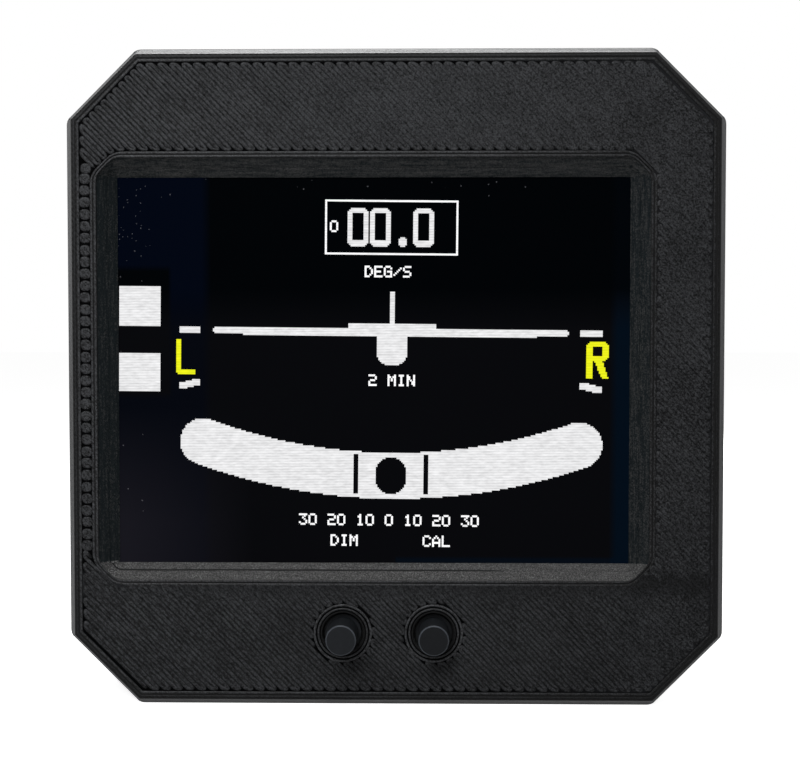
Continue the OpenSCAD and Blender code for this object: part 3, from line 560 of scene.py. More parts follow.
def amber_film(paints):
    """Polyimide film with copper tracks running along the tail."""
    made = Finish("amber_film", {"Specular IOR Level": 0.5})
    tracks = made.axes(made.place)[0].ridges(0.8 * MM).band(0.3, 1.2, 0.2)
    made.paint(base=made.shades(tracks, paints.film, 0.6, 1.15),
               rough=0.32 + made.cloud(1 * MM) * 0.1)
    made.emboss(tracks, 0.02 * MM, 0.6)
    return made.material


def foam_tape(paints):
    """Closed cell foam: many small dark pores."""
    made = Finish("foam_tape", {"Specular IOR Level": 0.15})
    pores = made.node("TexVoronoi", {"Vector": made.place, "Scale": 1 / (0.35 * MM)})
    made.paint(base=made.shades(pores.clamped(), paints.foam, 1.3, 0.5),
               rough=0.85 + made.cloud(1 * MM) * 0.1)
    made.emboss(1 - pores, 0.05 * MM, 0.8)
    return made.material


def ribbon_sheath(paints):
    """Grey ribbon cable: one rib for each wire, with painted shade in the grooves between the ribs.
    """
    made = Finish("ribbon_sheath", {"Specular IOR Level": 0.35})
    ribs = made.axes(made.place)[0].ridges(WIRE_PITCH)
    # painted shade in the grooves between the ribs
    made.paint(base=made.shades(ribs, paints.ribbon, 0.55, 1.1),
               rough=0.50 + made.cloud(0.6 * MM) * 0.12)
    made.emboss(ribs, 0.25 * MM, 0.9)
    return made.material


def clear_acrylic(paints):
    """Light guide: clear sheet with printed dots."""
    made = Finish("clear_acrylic", {"Transmission Weight": 0.6, "IOR": 1.49})
    dots = made.node("TexVoronoi", {"Vector": made.place, "Scale": 1 / (0.9 * MM),
                                    "Randomness": 0.0})
    made.paint(base=made.mix(dots < 0.3, paints.acrylic, grey(0.9)),
               rough=0.10 + (dots < 0.3) * 0.5)
    return made.material


def shrink_sleeve(paints):
    """Dark blue shrink sleeve with a pale stripe down one side of each can."""
    made = Finish("shrink_sleeve", {"Specular IOR Level": 0.5})
    x, y, _ = made.axes(made.facing)
    stripe = (x > 0.9) * (abs(y) < 0.3)
    made.paint(base=made.mix(stripe, paints.sleeve, (0.45, 0.47, 0.5)),
               rough=0.28 + made.cloud(1.2 * MM) * 0.12)
    made.emboss(made.cloud(0.8 * MM), 0.02 * MM, 0.4)
    return made.material


def dress(material, *names):
    """Gives CAD nodes this finish."""
    for name in names:
        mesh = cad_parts[name].data
        mesh.materials.clear()
        mesh.materials.append(material)


# Outlines and beads


# profiles: (share of half the width, share of the height above the face)
BEAD_PROFILE = ((-1.0, -0.25), (-0.95, 0.48), (-0.72, 0.92), (0.0, 1.0),
                (0.72, 0.92), (0.95, 0.48), (1.0, -0.25))
DAB_PROFILE = ((1.0, -0.3), (0.97, 0.2), (0.89, 0.72), (0.80, 1.0), (0.66, 1.06), (0.40, 1.0),
               (0.15, 0.98), (0.02, 0.98))
DAB_STEPS = 28
DAB_SQUARENESS = 2.5  # 2 would make the dabs round
# how the dabs differ: shifts across and up in millimetres, shares of their sizes, and lean
DAB_SHIFTS = ((-0.07, -0.01), (-0.03, 0.03))
DAB_WIDTHS, DAB_HEIGHTS, DAB_LEANS = (0.95, 1.04), (0.95, 1.02), (0.0, 0.25)
BAND_STRAY = 0.012 * MM  # how far the closed lines wander out of their plane
LINE_STRAY = 0.014  # how far a line of the face may be off its pitch, in millimetres
LEAST_PIECE = 0.3 * MM  # shorter pieces of a line aren't laid
LEAST_PINCHED = 2.2 * MM  # shorter pieces aren't pinched where they turn
PINCH_REACH = 0.74 * MM  # how far a pinch goes into a line
LINE_END = 0.55  # share of the width and height that is left at a line's two ends
LINK_REACH = 2.4  # ends of lines that are more pitches apart aren't joined by a turn
LONGEST_STRETCH = 1.5 * MM  # longer stretches of a line are divided
# shares by which a line's width and height waver, and how far it strays sideways
WIDTH_WAVER = 0.05
TOP_WAVER, FINE_TOP_WAVER = 0.10, 0.08
SIDE_WAVER = 0.015 * MM
PRESSED_FLAT = 0.3  # share of the height that lines below the window lose
# bands of painted shade in the pits along the bezel's edge, the window and the holes, in
# millimetres: where each starts and ends, and how far it stands out of the face under the lines
EDGE_PIT, WINDOW_PIT, HOLE_PIT = (1.30, 2.60, 0.010), (0.10, 1.30, 0.016), (0.20, 1.50, 0.022)
PIT_SLANT = 0.02  # how much narrower such a band is at its front on each side, in millimetres
PIT_FOOT = 0.05 * MM  # how far its edges go into the face
# wall lines round a hole, in millimetres: middle from the hole's edge, half the width, height
HOLE_BEADS = ((0.10, 0.10, 0.03), (0.48, 0.15, 0.12), (0.95, 0.17, 0.15))
# bands of the window's slopes: start and end as shares of the slope, and millimetres it is proud
SLOPE_BANDS = ((0.02, 0.60, 0.025), (0.61, 1.0, 0.018))
SLOPE_LIP = 0.015  # share of the slope over which a band's end drops
SLOPE_DROP, SLOPE_BACK = 0.03 * MM, 0.06 * MM  # how far it drops, and how deep a band's back is
# a step of the front edge, in millimetres: inset from its outline, and how far behind its top or,
# in the second, its foot
STEP_TOP = ((0.32, 0.04), (0.18, 0.0), (0.09, 0.05), (0.01, 0.14))
STEP_FOOT = ((0.0, -0.02), (0.32, 0.0))
STEP_STRAY = 0.008 * MM
EDGE_STEPS = 3


def rounded(corners, radius, arc_steps=5, edge_steps=24):
    """Closed outline through corners that turn left, rounded, always with as many points."""
    points = []
    count = len(corners)
    radius = max(radius, 0.02 * MM)
    arcs = []
    for index, corner in enumerate(corners):
        here = Vector(corner)
        back = (Vector(corners[index - 1]) - here).normalized()
        ahead = (Vector(corners[(index + 1) % count]) - here).normalized()
        half_turn = (math.pi - back.angle(ahead)) / 2
        start = here + back * radius * math.tan(half_turn)
        centre = start + Vector((back.y, -back.x)) * radius
        first = math.atan2(start.y - centre.y, start.x - centre.x)
        arcs.append([centre + Vector((math.cos(first + 2 * half_turn * step / arc_steps),
                                      math.sin(first + 2 * half_turn * step / arc_steps))) * radius
                     for step in range(arc_steps + 1)])
    for index, arc in enumerate(arcs):
        points.extend(arc)
        following = arcs[(index + 1) % count][0]
        for step in range(1, edge_steps):
            points.append(arc[-1].lerp(following, step / edge_steps))
    return points


def bezel_outline(sizes, side_inset, cut_inset):
    """Outline of the bezel, inset by one amount on its sides and by another on its cuts."""
    half = HALF - side_inset
    other = 2 * HALF - sizes.corner_cut - cut_inset * math.sqrt(2) - half
    corners = [(half, -other), (half, other), (other, half), (-other, half),
               (-half, other), (-half, -other), (-other, -half), (other, -half)]
    return rounded(corners, sizes.corner_round - side_inset)


def window_outline(sizes, inward):
    """Outline of the window, that far inward from its edge at the face. The slope below the
    picture is narrower, and reaches the glass where the others do."""
    share = sizes.foot_slope / sizes.window_slope if inward > 0 else 1
    across = sizes.screen_width / 2 + sizes.window_slope - inward
    up = sizes.screen_height / 2 + sizes.window_slope - inward
    down = sizes.screen_height / 2 + sizes.window_foot + sizes.foot_slope - inward * share
    middle = Vector((sizes.screen_x, sizes.screen_z))
    taper = 1 - inward / sizes.window_slope
    cut = max(sizes.window_cut * taper, 0.05 * MM)
    corners = [middle + Vector(point) for point in
               ((across - cut, -down), (across, cut - down), (across, up - cut), (across - cut, up),
                (cut - across, up), (-across, up - cut), (-across, cut - down),
                (cut - across, -down))]
    return rounded(corners, sizes.window_round * taper, arc_steps=4, edge_steps=40)


def hole_outline(centre, radius, steps=72):
    return [centre + Vector((math.cos(2 * math.pi * step / steps),
                             math.sin(2 * math.pi * step / steps))) * radius
            for step in range(steps)]


def edge_line(bezel, sizes, inset):
    """Outline along the bezel's edge at that inset, nearer to the edge along the cut corners."""
    return bezel_outline(bezel, inset, inset - sizes.cut_shift)


def hole_centres():
    """Middles of the two buttons, in the plane of the face."""
    centres = []
    for name in ("dim_button", "cal_button"):
        low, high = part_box(name)
        centres.append(Vector(((low.x + high.x) / 2, (low.z + high.z) / 2)))
    return centres


def waver(point, size, seed):
    """Smooth noise from -1 to 1 with features of that size."""
    return noise.noise(Vector((point[0] / size, point[1] / size, seed)))


def add_piece(name, mesh, material):
    """Puts a mesh into the scene as a piece that rides the instrument."""
    mesh.materials.append(material)
    piece = bpy.data.objects.new(name, mesh)
    bpy.context.scene.collection.objects.link(piece)
    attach(piece, BODY)
    return piece


class Lay:
    """Collects closed beads and makes one mesh of them."""

    def __init__(self):
        self.points = []
        self.faces = []

    def rings(self, rings, closed):
        """Joins rings of equal length; closed makes a torus, and otherwise the ends get caps."""
        first, size = len(self.points), len(rings[0])
        for ring in rings:
            self.points.extend(ring)
        spans = len(rings) if closed else len(rings) - 1
        for span in range(spans):
            here = first + span * size
            ahead = first + (span + 1) % len(rings) * size
            for index in range(size):
                following = (index + 1) % size
                self.faces.append((here + index, ahead + index, ahead + following,
                                   here + following))
        if not closed:
            self.faces.append(tuple(first + index for index in range(size)))
            last = first + (len(rings) - 1) * size
            self.faces.append(tuple(last + index for index in reversed(range(size))))

    def band(self, outline, profile, jitter=0.0, seed=0.0):
        """A closed band: profile is a list of (offset for outline, Y)."""
        loops = [outline(offset) for offset, _ in profile]
        rings = []
        for index in range(len(loops[0])):
            shift = jitter * waver(loops[0][index], 3 * MM, seed)
            rings.append([(loop[index].x, y + shift, loop[index].y)
                          for loop, (_, y) in zip(loops, profile)])
        self.rings(rings, closed=True)

    def piece(self, name, material, sharp=None):
        mesh = bpy.data.meshes.new(name)
        mesh.from_pydata(self.points, [], self.faces)
        mesh.validate()
        made = bmesh.new()
        made.from_mesh(mesh)
        bmesh.ops.recalc_face_normals(made, faces=made.faces)
        made.to_mesh(mesh)
        made.free()
        mesh.shade_smooth()
        if sharp is not None:
            mesh.set_sharp_from_angle(angle=math.radians(sharp))
        add_piece(name, mesh, material)


def bead_band(lay, outline, centre, width, height, seed):
    """A wall line of the face: a bead along a closed outline."""
    profile = [(centre + across * width, FACE_Y - up * height) for across, up in BEAD_PROFILE]
    lay.band(outline, profile, BAND_STRAY, seed)


def cut_lines(loops, pitch, chance):
    """Parallel 45 degree lines inside the loops: for each line its pieces, as
    [start, end, loop of the start, loop of the end]."""
    across = Vector((1, 1)).normalized()
    along = Vector((1, -1)).normalized()
    reach = max(across.dot(point) for point in loops[0])
    count = int(reach / pitch)
    lines = []
    for number in range(-count, count + 1):
        offset = number * pitch + chance.uniform(-LINE_STRAY, LINE_STRAY) * MM
        hits = []
        for name, loop in enumerate(loops):
            for index, point in enumerate(loop):
                here = across.dot(point) - offset
                there = across.dot(loop[index - 1]) - offset
                if (here > 0) != (there > 0):
                    share = here / (here - there)
                    hits.append((along.dot(point.lerp(loop[index - 1], share)), name))
        hits.sort()
        pieces = []
        for (low, low_loop), (high, high_loop) in zip(hits[::2], hits[1::2]):
            if high - low > LEAST_PIECE:
                pieces.append([across * offset + along * low, across * offset + along * high,
                               low_loop, high_loop])
        lines.append(pieces)
    return lines


def take_dabs(lines, short_line):
    """Takes the short pieces left of the window out of the lines, two by two, and gives the
    middle of each pair: there the filament ran together into one dab."""
    dabs = []
    for number in range(0, len(lines) - 1, 2):
        pair = [(pieces, piece) for pieces in lines[number:number + 2] for piece in pieces
                if piece[0].x < 0 and sorted(piece[2:]) == [0, 1]
                and (piece[1] - piece[0]).length < short_line]
        if len(pair) == 2:
            for pieces, piece in pair:
                pieces.remove(piece)
            dabs.append(sum((piece[0] + piece[1] for _, piece in pair), Vector((0, 0))) / 4)
    return dabs


def lay_dab(lay, middle, sizes, chance):
    """Lays one dab: a low dome with a full, slightly square outline."""
    middle = middle + Vector([chance.uniform(*shift) for shift in DAB_SHIFTS]) * MM
    wide = sizes.dab_width * chance.uniform(*DAB_WIDTHS)
    tall = sizes.dab_height * chance.uniform(*DAB_HEIGHTS)
    lean = chance.uniform(*DAB_LEANS)

    def outline(share):
        points = []
        for step in range(DAB_STEPS):
            turn = 2 * math.pi * step / DAB_STEPS
            cos, sin = math.cos(turn), math.sin(turn)
            bulge = abs(cos) ** DAB_SQUARENESS + abs(sin) ** DAB_SQUARENESS
            reach = share / bulge ** (1 / DAB_SQUARENESS)
            points.append(middle + Vector((cos * wide * reach - sin * lean * wide * reach * 0.5,
                                           sin * tall * reach)))
        return points

    lay.band(outline, [(share, FACE_Y - up * sizes.infill_height) for share, up in DAB_PROFILE])


def pinch_share(point, loop):
    """How much of the pinch a line shows where it turns: most at the window's top and left sides,
    about half at the holes and on the right, and least along the bottom."""
    if loop > 1:
        return 0.5
    if point.y < -0.6 * HALF:
        return 0.1
    if point.x > 0.5 * HALF:
        return 0.7 if loop == 1 and point.y < 0.55 * HALF else 0.45
    return 1.8 if loop == 1 else 0.6


def pinched(piece, end, extra, sizes):
    """The points of one piece, walked towards its given end, narrower at both ends and most
    where it turns at the window. The third number is how much half the line's width swells."""
    start, finish = piece[1 - end], piece[end]
    if (finish - start).length < LEAST_PINCHED:
        return [Vector((*start, extra)), Vector((*finish, extra))]
    ahead = (finish - start).normalized() * PINCH_REACH
    at_start, at_finish = (-sizes.pinch * pinch_share(piece[which], piece[2 + which])
                           for which in (1 - end, end))
    return [Vector((*start, at_start)), Vector((*(start + ahead), 0)),
            Vector((*(finish - ahead), 0)), Vector((*finish, at_finish))]


def link_lines(lines, reach, sizes):
    """Chains the pieces of neighbouring lines by turns at alternate ends. The third number of
    each point is how much half the line's width swells there."""
    links = {}
    for number in range(len(lines) - 1):
        end = number % 2
        for first, one in enumerate(lines[number]):
            for second, other in enumerate(lines[number + 1]):
                same_loop = one[2 + end] == other[2 + end]
                if same_loop and (one[end] - other[end]).length < reach:
                    links[(number, first, end)] = (number + 1, second)
                    links[(number + 1, second, end)] = (number, first)
                    break
    done, chains = set(), []
    keys = [(number, index) for number, pieces in enumerate(lines) for index in range(len(pieces))]
    keys.sort(key=lambda key: ((*key, 0) in links) + ((*key, 1) in links))
    for key in keys:
        if key in done:
            continue
        end = 1 if (*key, 0) not in links else 0
        chain = []
        while key is not None and key not in done:
            done.add(key)
            piece = lines[key[0]][key[1]]
            extra = sizes.swell if (piece[1] - piece[0]).length < sizes.short_line else 0.0
            chain += pinched(piece, end, extra, sizes)
            key, end = links.get((*key, end)), 1 - end
        chains.append(chain)
    return chains


def soften(chain, rounding, step):
    """Rounds the corners of an open path and divides its long stretches."""
    path = [chain[0]]
    for index in range(1, len(chain) - 1):
        back, here, ahead = chain[index - 1], chain[index], chain[index + 1]
        cut_back = min(rounding, (back - here).length * 0.45)
        cut_ahead = min(rounding, (ahead - here).length * 0.45)
        start = here + (back - here).normalized() * cut_back
        finish = here + (ahead - here).normalized() * cut_ahead
        for share in (0, 0.25, 0.5, 0.75, 1):
            path.append(start.lerp(here, share).lerp(here.lerp(finish, share), share))
    path.append(chain[-1])
    fine = [path[0]]
    for point in path[1:]:
        spans = max(1, math.ceil((point - fine[-1]).length / step))
        start = fine[-1]
        fine.extend(start.lerp(point, part / spans) for part in range(1, spans + 1))
    return fine


def within(value, low, high):
    """0 below low, 1 above high, and even between."""
    return min(max((value - low) / (high - low), 0.0), 1.0)


def below_window(point):
    """1 right below the window, where the lines are pressed flat, and less towards the left."""
    across, up = point.x / HALF, point.y / HALF
    return (1 - within(-up, 0.635, 0.685)) * (up < -0.6) * within(across, -1.2, -0.4)


def line_merging(point):
    """How much the lines of the face run into each other there: most below the window, then
    towards the upper right and along the right side."""
    across, up = point.x / HALF, point.y / HALF
    return max(within(across, -0.9, 0.7) * within(up, -0.6, 0.6), 0.55 * within(across, 0.62, 0.82),
               1.3 * below_window(point))


def lay_path(lay, path, sizes, number):
    """Lays one continuous line of filament on the face."""
    rings = []
    last = len(path) - 1
    for index, point in enumerate(path):
        ahead = (path[min(index + 1, last)] - point).xy
        back = (point - path[max(index - 1, 0)]).xy
        heading = (ahead.normalized() + back.normalized()).normalized()
        side = Vector((-heading.y, heading.x))
        end = LINE_END if index in (0, last) else 1.0
        width = (sizes.infill_width + sizes.infill_merge * line_merging(point)) * end
        width = width * (1 + WIDTH_WAVER * waver(point, 1.3 * MM, number * 0.37)) + point.z
        top = sizes.infill_height * (1 - PRESSED_FLAT * below_window(point)
                                     + TOP_WAVER * waver(point, 4 * MM, 7.3)
                                     + FINE_TOP_WAVER * waver(point, 0.9 * MM, number * 0.61))
        shift = SIDE_WAVER * waver(point, 2.2 * MM, 40 + number * 0.83)
        ring = []
        for across, up in BEAD_PROFILE:
            at = point.xy + side * (across * width + shift)
            ring.append((at.x, FACE_Y - up * top * end, at.y))
        rings.append(ring)
    lay.rings(rings, closed=False)


# The display's picture


# each letter: seven rows from the top, the highest of five bits at the left
LETTER_WIDTH, LETTER_ADVANCE = 5, 6
FONT = {
    "0": (14, 17, 17, 17, 17, 17, 14), "1": (4, 12, 4, 4, 4, 4, 14),
    "2": (30, 1, 1, 14, 16, 16, 31), "3": (31, 2, 4, 2, 1, 17, 14),
    "A": (4, 10, 17, 17, 31, 17, 17), "C": (14, 17, 16, 16, 16, 17, 14),
    "D": (28, 18, 17, 17, 17, 18, 28), "E": (31, 16, 16, 30, 16, 16, 31),
    "G": (14, 17, 16, 23, 17, 17, 15), "I": (14, 4, 4, 4, 4, 4, 14),
    "L": (16, 16, 16, 16, 16, 16, 31), "M": (17, 27, 21, 21, 17, 17, 17),
    "N": (17, 25, 25, 21, 19, 19, 17), "S": (15, 16, 16, 14, 1, 1, 30),
    "/": (0, 1, 2, 4, 8, 16, 0), " ": (0,) * 7,
}
DARK, WHITE, YELLOW, FINE = 0, 1, 2, 3
BAND_ROWS = 1.66  # rows of pixels from one fine band of the display to the next
CHAMFER = 2.01  # pixels that are cut off a block's corners
FLAT_ANGLE = 0.01  # faces that turn by less, in radians, become one

# what the dial shows, in the order of painting: the shape that Raster paints, and its pixels from
# the picture's top left, which are left, top, right and foot for a rect and a chamfered block
DIAL = {
    "read-out frame": ("rect", 129, 14, 212, 48, FINE),
    "read-out field": ("rect", 130, 15, 211, 47, DARK),
    "read-out lead": ("text", "0", 134.5, 27),
    "first digit": ("zero", 143, 19),
    "second digit": ("zero", 157, 19),
    "last digit": ("zero", 184, 19),
    "point": ("rect", 176, 37, 179, 43),
    "point sides": ("rect", 175, 38, 180, 42),
    "unit": ("text", "DEG/S", 169, 55),
    "aeroplane fin": ("rect", 170, 71, 173, 91),
    "wing roots": ("rect", 144, 91, 199, 99),
    "wings": ("rect", 60, 94, 281, 98),
    "left wing tip": ("rect", 59, 95, 60, 97),
    "right wing tip": ("rect", 281, 95, 282, 97),
    "wings' foot": ("rect", 78, 98, 262, 99),
    "fuselage": ("rect", 162, 98, 181, 108),
    "belly": ("blob", 171.5, 107.5, 9.5, 2.5),
    "left level mark": ("rect", 38, 94, 51, 98),
    "right level mark": ("rect", 289, 94, 303, 98),
    "left turn mark": ("steps", 38, ((4, 129, 133), (1, 128, 133), (3, 128, 132), (1, 127, 132),
                                     (4, 127, 131))),
    "right turn mark": ("steps", 289, ((4, 127, 131), (2, 127, 132), (2, 128, 132), (2, 128, 133),
                                       (4, 129, 133))),
    "L upright": ("rect", 36, 102, 39, 124, YELLOW),
    "L foot": ("rect", 36, 121, 48, 124, YELLOW),
    "L corner": ("rect", 36, 123, 37, 124, DARK),
    "R bowl": ("chamfered", 293, 101, 307, 113, YELLOW),
    "R upright": ("rect", 293, 105, 297, 124, YELLOW),
    "R eye": ("rect", 297, 104, 303, 110, DARK),
    "R leg": ("shape", [(298, 113), (303, 113), (307, 124), (303, 124)], YELLOW),
    "upper block": ("rect", 0, 69, 26, 94),
    "lower block": ("rect", 0, 111, 26, 135),
    "turn time": ("text", "2 MIN", 171.6, 123),
    "slip tube": ("tube", 171.3, -166, 338, 367, math.radians(19.56)),
    "ball": ("blob", 171.5, 186.5, 9.5, 2.2, 2, DARK),
    "left ball line": ("rect", 148, 173, 151, 198, DARK),
    "right ball line": ("rect", 192, 173, 195, 198, DARK),
    "scale": ("text", "30 20 10 0 10 20 30", 170, 211),
    "left key's word": ("text", "DIM", 142.8, 224),
    "right key's word": ("text", "CAL", 200.3, 224),
}


class Raster:
    """The picture as rows of pixels, painted with a few plain shapes."""

    def __init__(self, columns, rows):
        self.columns, self.rows = columns, rows
        self.cells = [[DARK] * columns for _ in range(rows)]

    def fill(self, inside, box, value):
        """Paints the pixels in box whose middle is inside."""
        left, top, right, foot = box
        for row in range(max(0, int(top)), min(self.rows, math.ceil(foot))):
            for column in range(max(0, int(left)), min(self.columns, math.ceil(right))):
                if inside(column + 0.5, row + 0.5):
                    self.cells[row][column] = value

    def rect(self, left, top, right, foot, value=WHITE):
        self.fill(lambda x, y: left <= x < right and top <= y < foot,
                  (left, top, right, foot), value)

    def shape(self, corners, value=WHITE):
        """A filled polygon."""
        def inside(x, y):
            odd = False
            for (x0, y0), (x1, y1) in zip(corners, corners[1:] + corners[:1]):
                if (y0 > y) != (y1 > y) and x < x0 + (y - y0) * (x1 - x0) / (y1 - y0):
                    odd = not odd
            return odd
        across = [x for x, _ in corners]
        down = [y for _, y in corners]
        self.fill(inside, (min(across), min(down), max(across), max(down)), value)

    def chamfered(self, left, top, right, foot, value=WHITE):
        self.shape([(left + CHAMFER, top), (right - CHAMFER, top), (right, top + CHAMFER),
                    (right, foot - CHAMFER), (right - CHAMFER, foot), (left + CHAMFER, foot),
                    (left, foot - CHAMFER), (left, top + CHAMFER)], value)

    def zero(self, left, top):
        """A large digit of the read-out, with strokes three and four pixels thick."""
        self.chamfered(left, top, left + 13, top + 24)
        self.rect(left + 3, top + 3, left + 10, top + 20, DARK)

    def blob(self, x, y, radius, power, stretch=0, value=WHITE):
        """A disc that is a little square, drawn out up and down by stretch."""
        def inside(column, row):
            up = max(abs(row - y) - stretch, 0)
            return (abs(column - x) / radius) ** power + (up / radius) ** power <= 1
        reach = radius + stretch
        self.fill(inside, (x - radius, y - reach, x + radius, y + reach), value)

    def steps(self, left, treads):
        """Bars side by side, each with its own columns, top and foot."""
        for columns, top, foot in treads:
            self.rect(left, top, left + columns, foot)
            left += columns

    def text(self, words, middle, top):
        left = round(middle - (len(words) * LETTER_ADVANCE - 1) / 2)
        for place, letter in enumerate(words):
            for row, bits in enumerate(FONT[letter]):
                for column in range(LETTER_WIDTH):
                    if bits >> (LETTER_WIDTH - 1 - column) & 1:
                        across = left + place * LETTER_ADVANCE + column
                        self.cells[top + row][across] = FINE

    def tube(self, x, y, inner, outer, half_turn):
        """A curved tube with round ends, about a centre above the picture."""
        middle, radius = (inner + outer) / 2, (outer - inner) / 2
        ends = [(x + side * middle * math.sin(half_turn), y + middle * math.cos(half_turn))
                for side in (-1, 1)]

        def inside(column, row):
            away = math.hypot(column - x, row - y)
            turn = math.atan2(abs(column - x), row - y)
            if turn <= half_turn:
                return inner <= away <= outer
            return any(math.hypot(column - a, row - b) <= radius for a, b in ends)
        self.fill(inside, (ends[0][0] - outer, 0, ends[1][0] + outer, self.rows), WHITE)


def painted_picture(picture):
    """The turn coordinator's dial."""
    raster = Raster(picture.columns, picture.rows)
    for shape, *numbers in DIAL.values():
        getattr(raster, shape)(*numbers)
    return raster


def raise_pixels(raster, value, name, material, sizes, picture, bloom=0.0):
    """Builds the pixels of one colour as thin plates on the glass, whose edges spread outward by
    bloom, in pixels."""
    wide = sizes.screen_width / picture.columns
    high = sizes.screen_height / picture.rows
    cos, sin = math.cos(picture.tilt), math.sin(picture.tilt)
    mesh = bmesh.new()
    corners = {}
    lit = {(column, row) for row, cells in enumerate(raster.cells)
           for column, cell in enumerate(cells) if cell == value}

    def spread(column, row):
        """Which way the outline spreads at a corner of the pixels."""
        lean = [0, 0]
        for right in (-1, 0):
            for down in (-1, 0):
                if (column + right, row + down) in lit:
                    lean[0] -= 2 * right + 1
                    lean[1] -= 2 * down + 1
        return [(side > 0) - (side < 0) for side in lean]

    def corner(column, row, level):
        key = (column, row, level)
        if key not in corners:
            right, down = spread(column, row)
            x = (column + bloom * right - picture.columns / 2) * wide
            z = (picture.rows / 2 - row - bloom * down) * high
            y = GLASS_Y - picture.lift if level else GLASS_Y + picture.lift
            corners[key] = mesh.verts.new((sizes.screen_x + x * cos - z * sin, y,
                                           sizes.screen_z + x * sin + z * cos))
        return corners[key]

    for column, row in sorted(lit):
        square = [(column, row), (column + 1, row), (column + 1, row + 1), (column, row + 1)]
        mesh.faces.new([corner(*point, 1) for point in reversed(square)])
        mesh.faces.new([corner(*point, 0) for point in square])
        beside = [(column, row - 1), (column + 1, row), (column, row + 1), (column - 1, row)]
        for index, neighbour in enumerate(beside):
            if neighbour not in lit:
                a, b = square[index], square[(index + 1) % 4]
                mesh.faces.new([corner(*a, 1), corner(*b, 1), corner(*b, 0), corner(*a, 0)])
    bmesh.ops.dissolve_limit(mesh, angle_limit=FLAT_ANGLE, verts=mesh.verts, edges=mesh.edges)
    bmesh.ops.recalc_face_normals(mesh, faces=mesh.faces)
    data = bpy.data.meshes.new(name)
    mesh.to_mesh(data)
    mesh.free()
    add_piece(name, data, material)


# Operators


class TURN_OT_printed_shells(bpy.types.Operator):
    """Gives the three printed shells their filament finish"""
    bl_idname = "turn.printed_shells"
    bl_label = "Printed shells"

    def execute(self, context):
        finish = printed_wall(context.scene.turn_paints, context.scene.turn_print)
        dress(finish, "front_bezel", "rear_housing", "rear_cover")
        return {"FINISHED"}


class TURN_OT_face_lines(bpy.types.Operator):
    """Lays the 45 degree lines of the face, with bands of painted shade in the pits between their
    turns
    """
    bl_idname = "turn.face_lines"
    bl_label = "Face lines"

    def execute(self, context):
        bezel, sizes = context.scene.turn_bezel, context.scene.turn_print
        loops = [edge_line(bezel, sizes, sizes.infill_inset),
                 window_outline(bezel, -sizes.window_gap),
                 *(hole_outline(centre, bezel.hole_radius + sizes.hole_gap)
                   for centre in hole_centres())]
        lines = cut_lines(loops, sizes.infill_pitch, random.Random(SEED))
        lay = Lay()
        chance = random.Random(SEED + 1)
        for middle in take_dabs(lines, sizes.short_line):
            lay_dab(lay, middle, sizes, chance)
        chains = link_lines(lines, LINK_REACH * sizes.infill_pitch, sizes)
        for number, chain in enumerate(chains):
            lay_path(lay, soften(chain, sizes.turn_round, LONGEST_STRETCH), sizes, number)
        finish = printed_bead("printed_line", context.scene.turn_paints, sizes, light=1.4,
                              level=0.06, coat=0.07, painted_right_shade=0.2)
        lay.piece("face_lines", finish)
        # bands of painted shade at the bottom of the pits between the lines' turns
        pits = Lay()
        for around, (low, high, lift) in (
                (lambda offset: edge_line(bezel, sizes, offset), EDGE_PIT),
                (lambda offset: window_outline(bezel, -offset), WINDOW_PIT),
                *((lambda offset, centre=centre: hole_outline(centre, bezel.hole_radius + offset),
                   HOLE_PIT) for centre in hole_centres())):
            foot, crest = FACE_Y + PIT_FOOT, FACE_Y - lift * MM
            pits.band(around, [(low * MM, foot), ((low + PIT_SLANT) * MM, crest),
                               ((high - PIT_SLANT) * MM, crest), (high * MM, foot)])
        pits.piece("face_pits", dull_filament(context.scene.turn_paints))
        return {"FINISHED"}


class TURN_OT_wall_lines(bpy.types.Operator):
    """Lays the lines that follow the bezel's edge, the window and the button holes"""
    bl_idname = "turn.wall_lines"
    bl_label = "Wall lines"

    def execute(self, context):
        bezel, sizes = context.scene.turn_bezel, context.scene.turn_print
        lay = Lay()

        def edge(inset):
            return edge_line(bezel, sizes, inset)

        def window(offset):
            return window_outline(bezel, -offset)

        # each line: its outline, its middle, share of the width, height in millimetres
        for seed, (outline, middle, share, height) in enumerate((
                (edge, sizes.outer_bead, 0.85, 0.08), (edge, sizes.inner_bead, 1, 0.12),
                (window, sizes.window_bead, 1, 0.12), (window, sizes.window_rim, 1, 0.12)), 1):
            bead_band(lay, outline, middle, share * sizes.bead_width, height * MM, seed)
        for number, centre in enumerate(hole_centres()):
            for offset, across, height in HOLE_BEADS:
                bead_band(lay, lambda step: hole_outline(centre, bezel.hole_radius + step),
                          offset * MM, across * MM, height * MM, 5 + number)
        finish = printed_bead("printed_bead", context.scene.turn_paints, sizes, light=1.8,
                              level=0.10, coat=0.18, painted_right_shade=0.5)
        lay.piece("wall_lines", finish)
        return {"FINISHED"}


